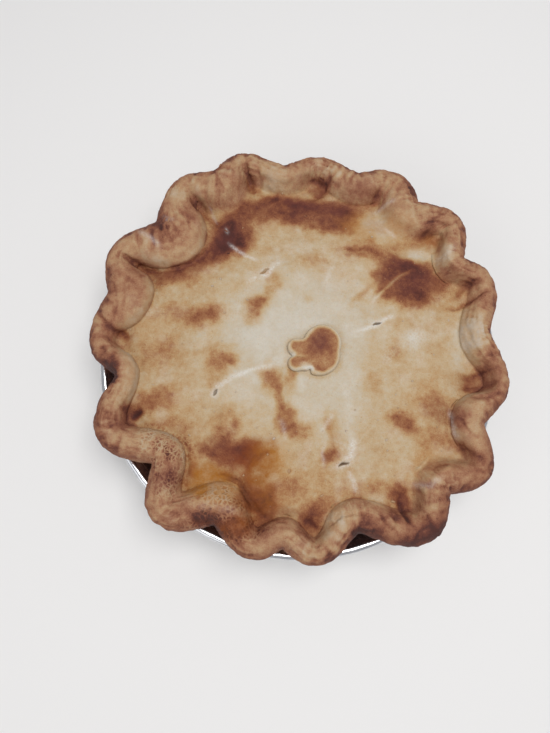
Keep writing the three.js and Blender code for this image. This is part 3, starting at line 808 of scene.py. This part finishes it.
def slit_layers(points):
    """How deep the steam slits go at each point, how dark the shade painted into them is there and how near
    the point is to one.
    """
    depth, dark, halo = np.zeros((3, len(points)))
    for x, y, turn, length, width, darkness in SLITS:
        along, across = turned(points[:, 0] - x, points[:, 1] - y, turn)
        bend = 0.3 * np.sin(along * 1.1 + x)
        half = width / 2 * np.maximum(1 - np.abs(2 * along / length) ** 1.3, 0)
        inside = smoothstep(half + 0.4, half - 0.4, np.abs(across - bend)) * smoothstep(0, 0.25, half)
        near = bell(along, 0.65 * length) * bell(across, 1.9)
        depth = np.maximum(depth, SLIT_DEPTH * inside)
        dark = np.maximum(dark, darkness * inside**1.5)
        halo = np.maximum(halo, near * (0.6 + 0.3 * darkness))
    on_top = points[:, 2] > TOP_HEIGHT
    return depth * on_top, dark * on_top, halo * on_top


def crust_browning(points, edge):
    """How far each crust point has browned, from 0, raw, to 1, burnt, with painted shade added on the edge's
    outer side, in its folds and wrinkles, where it meets the lid and round the pastry shape.
    """
    plan = wobbled(points, 2.3, 13, 50)
    plan += wobbled(points, 1.1, 4, 54) - points[:, :2]
    fine = wobbled(points, 0.5, 4, 60)
    radius = np.hypot(points[:, 0], points[:, 1])
    lid = 0.17 + 0.16 * smoothstep(15, 75, radius) + 0.05 * rough(points, 22, 71)
    # The edge browns more outward, partly as browning and partly as painted shade on its outer side.
    rolled = 0.49 + 0.26 * smoothstep(0.1, 1.0, edge.across) + 0.12 * rough(points, 13, 75)
    pale_rim = bell(edge.across + 0.84, 0.15) * smoothstep(0.25, 0.8, edge.notch) * (1 - edge.soft)
    # Paler wrinkle ridges and browner troughs between them: painted light and shade.
    rolled -= 0.18 * pale_rim + 0.1 * edge.wrinkles
    browning = lid + (rolled - lid) * edge.on + ovals(plan, BROWNED)
    for line, half_width, amount, _ in BANDS:
        browning += amount * stroke(plan, line, half_width)
    # Browning along seams and folds, which in the folds is partly painted shade in their creases.
    for line, half_width, _, amount, *_ in SEAMS + FOLDS:
        browning += amount * stroke(fine, line, 1.3 * half_width)
    # Painted shade where the edge's inner side meets the lid.
    browning += 0.1 * edge.junction(1.6) * (1 + noise(points, 18, 79))
    # A brown ring on the lid round the pastry shape: partly juice baked round it and partly painted shade at
    # its foot.
    outline, _ = shape_outline()
    which, distance, *_ = beside_line(fine, [*outline, outline[0]], 6)
    browning[which] += 0.12 * bell(distance - 0.8, 1.3)
    # Browner below the edge's middle height, on its lower outer side: partly browning, partly painted shade.
    return browning + 0.12 * smoothstep(47, 41, points[:, 2])


def crust_layers(points, edge, browning):
    """The juice, its yellowness, the darkening, which is partly painted shade, the flour and the pores at
    each crust point.
    """
    plan = wobbled(points, 2.0, 7, 80)
    fine = wobbled(points, 0.6, 5, 90)
    juice, yellow = np.zeros((2, len(points)))
    for *place, amount, yellowness in JUICE:
        here = amount * oval(plan, *place)
        juice += here
        yellow += here * yellowness
    yellow /= np.maximum(juice, 1e-3)
    spots = [amount * oval(plan, *place) for *place, amount in DARKENED]
    dark = strongest(spots + [amount * stroke(plan, line, half) for line, half, _, amount in BANDS])
    flour = strongest(amount * stroke(fine, line, half) for line, half, amount in STRETCHED)
    flour += 0.35 * oval(plan, *FLOURY_SPOT)
    dusting = 0.16 * smoothstep(0.1, 0.8, rough(points, 9, 95)) * (1 - edge.on)
    dusting += 0.1 * smoothstep(0.2, 0.9, rough(points, 8, 98)) * edge.on
    dusting *= np.clip(1 - dark - juice, 0, 1) * smoothstep(0.65, 0.3, browning)
    on_top = smoothstep(1.02, 0.8, edge.across)
    return {
        "juice": juice * on_top,
        "yellow": yellow,
        "dark": dark * on_top,
        "flour": (flour + dusting) * on_top,
        "pores": strongest(amount * oval(plan, *place) for *place, amount in POROUS),
    }


def make_crust(material):
    mesh = mesh_of_rings("baked_crust", crust_rings()[::-1])
    refine(mesh, [line for line, _, depth, *_ in FOLDS if depth > 1], 1.3, 1)
    refine(mesh, [[(x - 1, y), (x + 1, y)] for x, y, *_ in SLITS], 3, 2)
    points = points_of(mesh)
    edge = EdgeMap(points)
    depth, slit, halo = slit_layers(points)
    browning = crust_browning(points, edge)
    layers = crust_layers(points, edge, browning)
    layers["flour"] = np.maximum(layers["flour"], halo * smoothstep(0.9, 0.2, depth))
    normals = vectors(mesh.vertex_normals, "vector")
    moved = points + normals * crust_relief(points, edge)[:, None]
    moved[:, 2] += 0.25 * halo - depth
    move_points(mesh, keep_inside(moved, "pie_crust", 0.35))
    store_dough(mesh, browning, slit=slit, rolled=edge.on, **layers)
    return piece("baked_crust", mesh, material, "crust", "pie_crust")


# ---------------------------------------------------------------- crumbs and flakes

CRUMB_COUNT = 150
CRUMB_SEED = 19
HIGHEST_CRUMB = 58.4
STEEPEST_CRUMB = 0.6  # the least upward part of the crust's direction where a crumb can lie
CRUMB_RISE = 0.35  # how far above the crust a crumb's middle lies, in its half thicknesses
CRUMB_CURL = 0.35  # how far up its ends curl, in its half thicknesses
ABOVE_ALL = 0.1  # metres, above the whole pie

# Torn flakes of pastry skin: x, y, turn, length, width, thickness.
FLAKES = [
    (-74, 70, 25, 4, 1.3, 0.5), (-71, 69, -20, 3, 1.0, 0.5), (-44, 104, 45, 4, 1.8, 0.6),
    (-40.5, 66.5, 110, 3, 0.9, 0.6), (-6.4, -65, 60, 2.4, 1.3, 0.6), (80.5, 15, 10, 1.8, 0.9, 0.5),
    (-28, 24, 70, 1.6, 0.8, 0.5), (10, -77, 20, 2.2, 1.0, 0.6), (46, -80, 130, 2.6, 1.2, 0.7),
    (-57, -47, 30, 1.8, 1.0, 0.6),
]


def crumb_sizes(draw):
    """Where each crumb and flake lies, its turn, its half sizes and how much browner it is than the crust."""
    sizes = []
    for x, y, turn, length, width, thickness in FLAKES:
        sizes.append((x, y, math.radians(turn), length / 2, width / 2, thickness / 2, -0.15))
    for _ in range(CRUMB_COUNT):
        radius, turn = 92 * draw.uniform(0.1, 1) ** 0.4, draw.uniform(0, 2 * math.pi)
        size = draw.uniform(0.15, 0.38) * draw.choice([1, 1, 1.5])
        x, y = radius * math.cos(turn), radius * math.sin(turn)
        flat, long = size * draw.uniform(0.5, 0.9), size * draw.uniform(1, 1.6)
        sizes.append((x, y, draw.uniform(0, math.pi), long, size, flat, draw.uniform(-0.2, 0.02)))
    return sizes


def make_crumbs(crust, material):
    """Small uneven lumps and flakes, each lying on the crust."""
    draw = np.random.default_rng(CRUMB_SEED)
    corners = [vertex.co for vertex in crust.data.vertices]
    surface = BVHTree.FromPolygons(corners, [face.vertices for face in crust.data.polygons])
    ball = bmesh.new()
    bmesh.ops.create_icosphere(ball, subdivisions=2, radius=1)
    ball_points = np.array([v.co for v in ball.verts])
    ball_faces = [[v.index for v in face.verts] for face in ball.faces]
    ball.free()
    points, faces, browning = [], [], []
    for x, y, turn, long, wide, thick, baked in crumb_sizes(draw):
        place, normal, face, _ = surface.ray_cast((x * MM, y * MM, ABOVE_ALL), (0, 0, -1))
        if place.z / MM > HIGHEST_CRUMB or normal.z < STEEPEST_CRUMB:
            continue
        lump = ball_points * (1 + 0.3 * rough(ball_points + x, 0.9, 140, 2))[:, None]
        lump[:, 2] += CRUMB_CURL * lump[:, 0] ** 2
        lump = lump * (long, wide, thick) @ np.array(Matrix.Rotation(-turn, 3, "Z"))
        lump = lump @ np.array(normal.to_track_quat("Z", "Y").to_matrix()).T
        faces += [[len(points) * len(ball_points) + v for v in face] for face in ball_faces]
        points.append(lump + np.array(place) / MM + np.array(normal) * CRUMB_RISE * thick)
        crust_here = crust.data.attributes["browning"].data[crust.data.polygons[face].vertices[0]].value
        browning.append(np.full(len(ball_points), max(0.1, crust_here + baked)))
    mesh = bpy.data.meshes.new("pastry_crumbs")
    mesh.from_pydata((np.concatenate(points) * MM).tolist(), [], faces)
    mesh.update()
    store_dough(mesh, np.concatenate(browning), rolled=np.ones(len(mesh.vertices)))
    return piece("pastry_crumbs", mesh, material, "crust")


# ---------------------------------------------------------------- the pastry shape

SHAPE_COLUMNS = 320
SHAPE_RAYS = 4096
SHAPE_SOFTNESS = 1.0  # how far its outline's corners are rounded


def shape_outline():
    """The pastry shape's outline as evenly spaced points with soft corners, and its outward directions."""
    turns = np.arange(SHAPE_RAYS) * 2 * math.pi / SHAPE_RAYS
    _, reach = span_of_discs(SHAPE_DISCS, *SHAPE_MIDDLE, turns)
    outline = SHAPE_MIDDLE + reach[:, None] * np.stack([np.cos(turns), np.sin(turns)], 1)
    steps = np.linalg.norm(np.roll(outline, -1, 0) - outline, axis=1)
    length = steps.sum()
    at = np.concatenate([[0], np.cumsum(steps)])
    step = length / SHAPE_COLUMNS
    even = np.arange(SHAPE_COLUMNS) * step
    closed = np.concatenate([outline, outline[:1]])
    points = np.stack([np.interp(even, at, closed[:, axis]) for axis in range(2)], 1)
    reach = round(3 * SHAPE_SOFTNESS / step)
    weights = bell(np.arange(-reach, reach + 1) * step, SHAPE_SOFTNESS)
    weights /= weights.sum()
    soft = sum(w * np.roll(points, k - reach, 0) for k, w in enumerate(weights))
    along = np.roll(soft, -1, 0) - np.roll(soft, 1, 0)
    outward = np.stack([along[:, 1], -along[:, 0]], 1)
    return soft, outward / np.linalg.norm(outward, axis=1)[:, None]


def shape_rings():
    """The pastry shape's rings from the middle of its top over its rounded edge to its underside."""
    outline, outward = shape_outline()
    rings = []

    def add(plan, z):
        height = lid_height(plan[:, 0], plan[:, 1]) + GAP + z
        rings.append(np.concatenate([plan, height[:, None]], 1))

    for part in np.linspace(0.03, 0.9, 26):
        add(SHAPE_MIDDLE + (outline - outward * 0.9 * part - SHAPE_MIDDLE) * part, SHAPE_THICKNESS)
    for row in range(14):
        turn = math.pi / 2 * row / 13
        add(outline - outward * 0.9 * (1 - math.sin(turn)), SHAPE_THICKNESS - 1.4 * (1 - math.cos(turn)))
    add(outline - outward * 0.1, 0.6)
    add(outline - outward * 0.4, 0.12)
    add(outline - outward * 0.9, 0)
    add(SHAPE_MIDDLE + (outline - SHAPE_MIDDLE) * 0.6, 0)
    return rings


def make_pastry_shape(material):
    mesh = mesh_of_rings("pastry_cutout", shape_rings()[::-1])
    points = points_of(mesh)
    lift = points[:, 2] - lid_height(points[:, 0], points[:, 1]) - GAP
    top = smoothstep(1.0, 2.5, lift)
    plan = wobbled(points, 0.7, 4, 110)
    outline, _ = shape_outline()
    _, to_edge, *_ = beside_line(points[:, :2], [*outline, outline[0]], 30)
    groove = stroke(plan, [(-8, -6.7), (-3, -6.6), (4, -6.3)], 1.1) * smoothstep(4, 0, plan[:, 0])
    pale_spot = oval(plan, 3.5, -12.5, 4, 2, -25)
    rim = bell(to_edge - 1.4, 0.9)
    relief = 0.14 * rough(points, 5, 120) + 0.05 * rough(points, 1.6, 125) - 0.3
    relief += 0.22 * rim - 0.75 * groove - 0.15 * smoothstep(2, 6, to_edge)
    moved = points.copy()
    moved[:, 2] += np.minimum(relief, 0.0) * top
    pale_rim = smoothstep(2.6, 0.9, to_edge + 0.5 * rough(points, 4, 135))
    browning = 0.56 + 0.2 * oval(plan, 9.5, 0, 8, 8, -10) + 0.07 * rough(points, 5, 130)
    browning -= 0.38 * pale_rim + 0.22 * groove + 0.2 * pale_spot
    browning = 0.24 + (browning - 0.24) * smoothstep(0.7, 1.6, lift)
    move_points(mesh, keep_inside(moved, "pastry_shape", 0.1))
    store_dough(mesh, browning, dark=0.85 * oval(plan, 9.5, 0, 5, 6, -20) * top, flour=0.35 * pale_spot)
    return piece("pastry_cutout", mesh, material, "browned_pastry", "pastry_shape")


# ---------------------------------------------------------------- the foil tin

TIN_COLUMNS = 960
PLEAT_COUNT = 132
PLEAT_SEED = 7
INNER_SHIFT = 0.35  # how far out from the solid's the wall's inner side lies, as this foil is thinner


def pleat_wave(turns, height):
    """Uneven creases round the tin's wall, from -1 to 1, leaning a little as they rise."""
    draw = np.random.default_rng(PLEAT_SEED)
    widths = draw.uniform(0.6, 1.4, PLEAT_COUNT)
    lines = np.concatenate([[0], np.cumsum(widths)]) / widths.sum() * 2 * math.pi
    depths = draw.uniform(0.45, 1, PLEAT_COUNT)
    lean = 0.006 * np.sin(5 * turns) + 0.0035 * np.sin(13 * turns + 1)
    place = np.mod(turns + lean * height / 10, 2 * math.pi)
    which = np.clip(np.searchsorted(lines, place, side="right") - 1, 0, PLEAT_COUNT - 1)
    part = (place - lines[which]) / (lines[which + 1] - lines[which])
    return depths[which] * (1 - 2 * np.abs(2 * part - 1))


def crease_shade(points):
    """How deep in a crease each point of the foil lies, from 0 to 1, for the shade painted into the creases.
    """
    turns = np.arctan2(points[:, 1], points[:, 0])
    wave = pleat_wave(turns, points[:, 2])
    on_wall = smoothstep(2, 6, points[:, 2]) * smoothstep(35, 32, points[:, 2])
    return on_wall * smoothstep(0.35, -0.8, wave)


def tin_rings():
    """The foil's rings from the middle of its base up the outside, round the rim and down inside."""
    turns = np.arange(TIN_COLUMNS) * 2 * math.pi / TIN_COLUMNS

    def base(part, z):
        return ring_at(turns, (TIN_BASE_RADIUS - TIN_BASE_ROUND) * part, z)

    def wall(z, outward):
        fade = smoothstep(2, 10, z) * smoothstep(34.5, 29, z)
        pleats = PLEAT_DEPTH * pleat_wave(turns, z) * fade
        return ring_at(turns, tin_wall_radius(z) + outward + pleats, z)

    def rim(turn):
        wave = 0.05 * np.sin(23 * turns) + 0.04 * np.sin(61 * turns)
        radius = TIN_RIM_RADIUS - 0.1 - RIM_ROLL_RADIUS * (1 - math.cos(turn)) + wave
        return ring_at(turns, radius, TIN_HEIGHT - 0.05 - RIM_ROLL_RADIUS * (1 - math.sin(turn)))

    rings = [base(part, 0) for part in (0.3, 0.6, 0.8, 0.9, 1)]
    rings += [wall(z, FOIL_THICKNESS) for z in (0.7, *np.linspace(2, 34, 22))]
    rings += [rim(turn) for turn in np.radians(np.linspace(-145, 155, 19))]
    rings += [wall(z, INNER_SHIFT) for z in np.linspace(30, 2, 12)]
    return rings + [base(part, FOIL_THICKNESS) for part in (1, 0.8, 0.5)]


def make_tin(material):
    mesh = mesh_of_rings("pleated_foil_tin", tin_rings())
    points = points_of(mesh)
    # How much shade and dark reflection is painted into the wall's creases.
    store(mesh, "crease", crease_shade(points))
    move_points(mesh, keep_inside(points, "foil_tin", 0.05))
    return piece("pleated_foil_tin", mesh, material, "foil", "foil_tin")


# ---------------------------------------------------------------- materials


def srgb(red, green, blue):
    """A colour given as 0 to 255 values, as the shader wants it."""
    values = [v / 255 for v in (red, green, blue)]
    return tuple(v / 12.92 if v <= 0.04045 else ((v + 0.055) / 1.055) ** 2.4 for v in values) + (1,)


class Nodes:
    """Short calls for building one material's node tree."""

    def __init__(self, name):
        self.material = bpy.data.materials.new(name)
        self.material.use_nodes = True
        self.tree = self.material.node_tree
        self.shader = self.tree.nodes["Principled BSDF"]
        self.place = self.tree.nodes.new("ShaderNodeTexCoord").outputs["Object"]

    def link(self, source, target):
        """Feeds a socket from another socket, or sets its own value."""
        if hasattr(source, "links"):
            self.tree.links.new(source, target)
        else:
            target.default_value = source

    def fill(self, node, **inputs):
        for name, source in inputs.items():
            self.link(source, node.inputs[name.replace("_", " ")])

    def add(self, kind, **inputs):
        node = self.tree.nodes.new("ShaderNode" + kind)
        self.fill(node, **inputs)
        return node

    def attribute(self, name):
        node = self.add("Attribute")
        node.attribute_name = name
        return node.outputs["Fac"]

    def math(self, kind, a, b, clamp=False):
        node = self.add("Math")
        node.operation = kind
        node.use_clamp = clamp
        self.link(a, node.inputs[0])
        self.link(b, node.inputs[1])
        return node.outputs[0]

    def plus(self, a, b, clamp=False):
        return self.math("ADD", a, b, clamp)

    def times(self, a, b):
        return self.math("MULTIPLY", a, b)

    def spread(self, value, low, high, to_low=0.0, to_high=1.0):
        """Takes a range of values to another one."""
        limits = {"From_Min": low, "From_Max": high, "To_Min": to_low, "To_Max": to_high}
        return self.add("MapRange", Value=value, **limits).outputs["Result"]

    def noise(self, width, detail, roughness=0.55):
        """Noise from 0 to 1 in waves about as wide as the given millimetres."""
        settings = {"Scale": 1 / (width * MM), "Detail": detail, "Roughness": roughness}
        return self.add("TexNoise", Vector=self.place, **settings).outputs["Fac"]

    def cells(self, width):
        """How far a point is from the edges of uneven cells about as wide as the given millimetres."""
        shift = self.add("TexNoise", Vector=self.place, Scale=1 / (CELL_WOBBLE_WIDTH * MM))
        place = self.add("VectorMath")
        place.operation = "MULTIPLY_ADD"
        sources = (shift.outputs["Color"], (CELL_WOBBLE * MM,) * 3, self.place)
        for socket, source in zip(place.inputs, sources):
            self.link(source, socket)
        cells = self.add("TexVoronoi", Vector=place.outputs[0], Scale=1 / (width * MM))
        cells.feature = "DISTANCE_TO_EDGE"
        return cells.outputs["Distance"]

    def ramp(self, value, stops):
        node = self.add("ValToRGB", Fac=value)
        steps = node.color_ramp.elements
        while len(steps) < len(stops):
            steps.new(0.5)
        for step, (at, colour) in zip(steps, stops):
            step.position = at
            step.color = colour
        return node.outputs["Color"]

    def mix(self, amount, a, b):
        node = self.add("Mix")
        node.data_type = "RGBA"
        for socket, source in zip((node.inputs["Factor"], *node.inputs[6:8]), (amount, a, b)):
            self.link(source, socket)
        return node.outputs[2]

    def bump(self, height, distance, strength, **below):
        node = self.add("Bump", Height=height, Distance=distance * MM, Strength=strength, **below)
        return node.outputs["Normal"]


BAKED_COLOURS = [
    (0.0, srgb(204, 196, 181)),
    (0.14, srgb(198, 184, 161)),
    (0.28, srgb(194, 170, 135)),
    (0.42, srgb(184, 148, 105)),
    (0.56, srgb(165, 117, 79)),
    (0.7, srgb(140, 86, 57)),
    (0.85, srgb(106, 58, 44)),
    (1.0, srgb(72, 40, 35)),
]
PINKISH_EDGE = srgb(172, 138, 124)
# Purple-brown of baked juice and of painted shade.
PURPLE_BROWN = srgb(106, 56, 50)
DARK_JUICE = srgb(122, 50, 16)
MUSTARD_JUICE = srgb(178, 118, 32)
FLOUR_WHITE = srgb(228, 227, 223)
# Painted shade inside the slits' openings.
SLIT_SHADE = srgb(84, 64, 52)
DULL_FOIL = srgb(212, 214, 217)
BRIGHT_FOIL = srgb(232, 233, 235)
# Painted shade and dark reflections in the wall's creases.
CREASE_SHADE_FOIL = srgb(128, 130, 136)
FLOOR_WHITE = srgb(238, 237, 235)

# Coarse, middle and fine mottling: width, detail, roughness, how much the browning goes up and down.
MOTTLING = ((9, 5, 0.6, 0.07), (2.8, 4, 0.5, 0.055), (0.7, 3, 0.6, 0.035))
PORE_WIDTH = 2.1
# How far the pores' cells are shifted about, and how wide the waves of that are.
CELL_WOBBLE = 1.9
CELL_WOBBLE_WIDTH = 2.2


def dough_level(n, pores):
    """How brown each spot is: the vertices' browning with mottling, specks and the pores' netting."""
    mottled = 0.0
    for width, detail, roughness, amount in MOTTLING:
        grain = n.noise(width, detail, roughness)
        mottled = n.plus(mottled, n.spread(grain, 0.3, 0.7, -amount, amount))
    browning = n.attribute("browning")
    level = n.plus(browning, n.times(mottled, n.spread(browning, 0.0, 0.5, 0.55, 1.3)))
    level = n.plus(level, n.spread(n.noise(0.9, 1, 0.4), 0.7, 0.78, 0.0, 0.16))
    netting = n.spread(n.cells(PORE_WIDTH), 0.02, 0.28, -0.22, 0.22)
    return n.plus(level, n.times(netting, pores), clamp=True)


def dough_colour(n, level):
    """Cream to dark brown, with the edge's pinkish bloom, darkening that is partly painted shade, juice,
    flour and the slits' painted shade over it.
    """
    patchy = n.spread(n.noise(4, 6, 0.65), 0.32, 0.62, 0.5, 1.0)
    dusty = n.spread(n.noise(1.1, 5, 0.7), 0.35, 0.62, 0.3, 1.0)
    bloom = n.spread(level, 0.55, 0.85, 0.23, 0.05)
    juice_colour = n.mix(n.attribute("yellow"), DARK_JUICE, MUSTARD_JUICE)
    colour = n.ramp(level, BAKED_COLOURS)
    for layer, amount, tint in (
        ("rolled", bloom, PINKISH_EDGE),
        ("dark", n.times(patchy, 0.68), PURPLE_BROWN),
        ("juice", n.times(patchy, 0.92), juice_colour),
        ("flour", dusty, FLOUR_WHITE),
        ("slit", 1.0, SLIT_SHADE),
    ):
        colour = n.mix(n.times(n.attribute(layer), amount), colour, tint)
    return colour


def dough_bumps(n, pores):
    """Fine grain, soft lumps and the pores' pits."""
    grain = n.bump(n.noise(0.55, 5, 0.65), 0.38, 0.7)
    lumps = n.bump(n.noise(3.2, 6, 0.65), 1.0, 0.7, Normal=grain)
    pits = n.times(n.spread(n.cells(PORE_WIDTH), 0.0, 0.35), pores)
    return n.bump(n.times(pits, -1.0), 0.6, 0.7, Normal=lumps)


def dough_material(name, roughness, shine):
    """Baked dough, which is less rough by the given shine where juice dried on it."""
    n = Nodes(name)
    pores = n.times(n.attribute("pores"), n.spread(n.noise(5, 4), 0.36, 0.6, 0.15, 1.0))
    glazed = n.math("MAXIMUM", n.attribute("juice"), n.attribute("dark"))
    n.fill(
        n.shader,
        Base_Color=dough_colour(n, dough_level(n, pores)),
        Roughness=n.math("SUBTRACT", roughness, n.times(glazed, shine)),
        Normal=dough_bumps(n, pores),
        Specular_IOR_Level=0.2,
        Subsurface_Weight=0.06,
        Subsurface_Radius=(1.0, 0.55, 0.3),
        Subsurface_Scale=1.2 * MM,
    )
    return n.material


def foil_material():
    """Pressed aluminium foil, uneven in tone and gloss, with painted shade and dark reflections in its
    creases, and fine crinkles.
    """
    n = Nodes("pressed_foil")
    foil = n.mix(n.spread(n.noise(12, 5, 0.6), 0.3, 0.7), DULL_FOIL, BRIGHT_FOIL)
    n.fill(
        n.shader,
        Base_Color=n.mix(n.attribute("crease"), foil, CREASE_SHADE_FOIL),
        Metallic=1.0,
        Roughness=n.spread(n.noise(4, 5, 0.7), 0.3, 0.7, 0.14, 0.26),
        Normal=n.bump(n.noise(3.5, 2, 0.5), 0.25, 0.3),
    )
    return n.material


def floor_material():
    n = Nodes("pale_floor")
    n.fill(n.shader, Base_Color=FLOOR_WHITE, Roughness=0.8)
    return n.material


# ---------------------------------------------------------------- floor, light and camera

FLOOR_REACH = 3  # metres

# Softboxes: name, direction from the pie, distance and size in metres, watts.
SOFTBOXES = [
    ("key", (0.16, 0.02, 0.98), 1.1, 0.6, 7.2),
    ("fill", (-0.6, -0.55, 0.58), 1.3, 1.0, 2.6),
]
SKY_COLOUR = (0.97, 0.965, 1.0, 1)
SKY_STRENGTH = 0.39

CAMERA_PLACE = (-17.0, -71.3, 325.7)
CAMERA_RIGHT = (0.99991, -0.00153, 0.01297)
CAMERA_UP = (-0.00128, 0.97678, 0.21426)
CAMERA_FORWARD = (0.0130, 0.2143, -0.9767)
CAMERA_LENS = 26.3
SENSOR_WIDTH = 36
NEAREST_SEEN = 0.01  # metres


def make_floor():
    mesh = bpy.data.meshes.new("floor")
    corners = [(x * FLOOR_REACH, y * FLOOR_REACH, 0) for x, y in ((-1, -1), (1, -1), (1, 1), (-1, 1))]
    mesh.from_pydata(corners, [], [(0, 1, 2, 3)])
    mesh.materials.append(floor_material())
    floor = bpy.data.objects.new("floor", mesh)
    bpy.context.scene.collection.objects.link(floor)


def add_softbox(name, direction, distance, size, watts):
    light = bpy.data.lights.new(name, "AREA")
    light.shape = "SQUARE"
    light.size = size
    light.energy = watts
    lamp = bpy.data.objects.new(name, light)
    lamp.location = Vector(direction).normalized() * distance
    lamp.rotation_euler = (-lamp.location).to_track_quat("-Z", "Y").to_euler()
    bpy.context.scene.collection.objects.link(lamp)


def make_light():
    for softbox in SOFTBOXES:
        add_softbox(*softbox)
    world = bpy.data.worlds.new("studio")
    world.use_nodes = True
    background = world.node_tree.nodes["Background"]
    background.inputs["Color"].default_value = SKY_COLOUR
    background.inputs["Strength"].default_value = SKY_STRENGTH
    bpy.context.scene.world = world


def make_camera():
    data = bpy.data.cameras.new("camera")
    data.sensor_width = SENSOR_WIDTH
    data.lens = CAMERA_LENS
    data.clip_start = NEAREST_SEEN
    camera = bpy.data.objects.new("camera", data)
    axes = Matrix((CAMERA_RIGHT, CAMERA_UP, [-v for v in CAMERA_FORWARD]))
    camera.matrix_world = Matrix.Translation(Vector(CAMERA_PLACE) * MM) @ axes.transposed().to_4x4()
    bpy.context.scene.collection.objects.link(camera)
    bpy.context.scene.camera = camera


# ---------------------------------------------------------------- everything together

make_camera()
make_light()
make_floor()
bpy.context.scene.view_settings.view_transform = "Standard"
baked_dough = dough_material("baked_dough", 0.7, 0.08)
make_crumbs(make_crust(baked_dough), baked_dough)
make_pastry_shape(dough_material("browned_dough", 0.56, 0.1))
make_tin(foil_material())
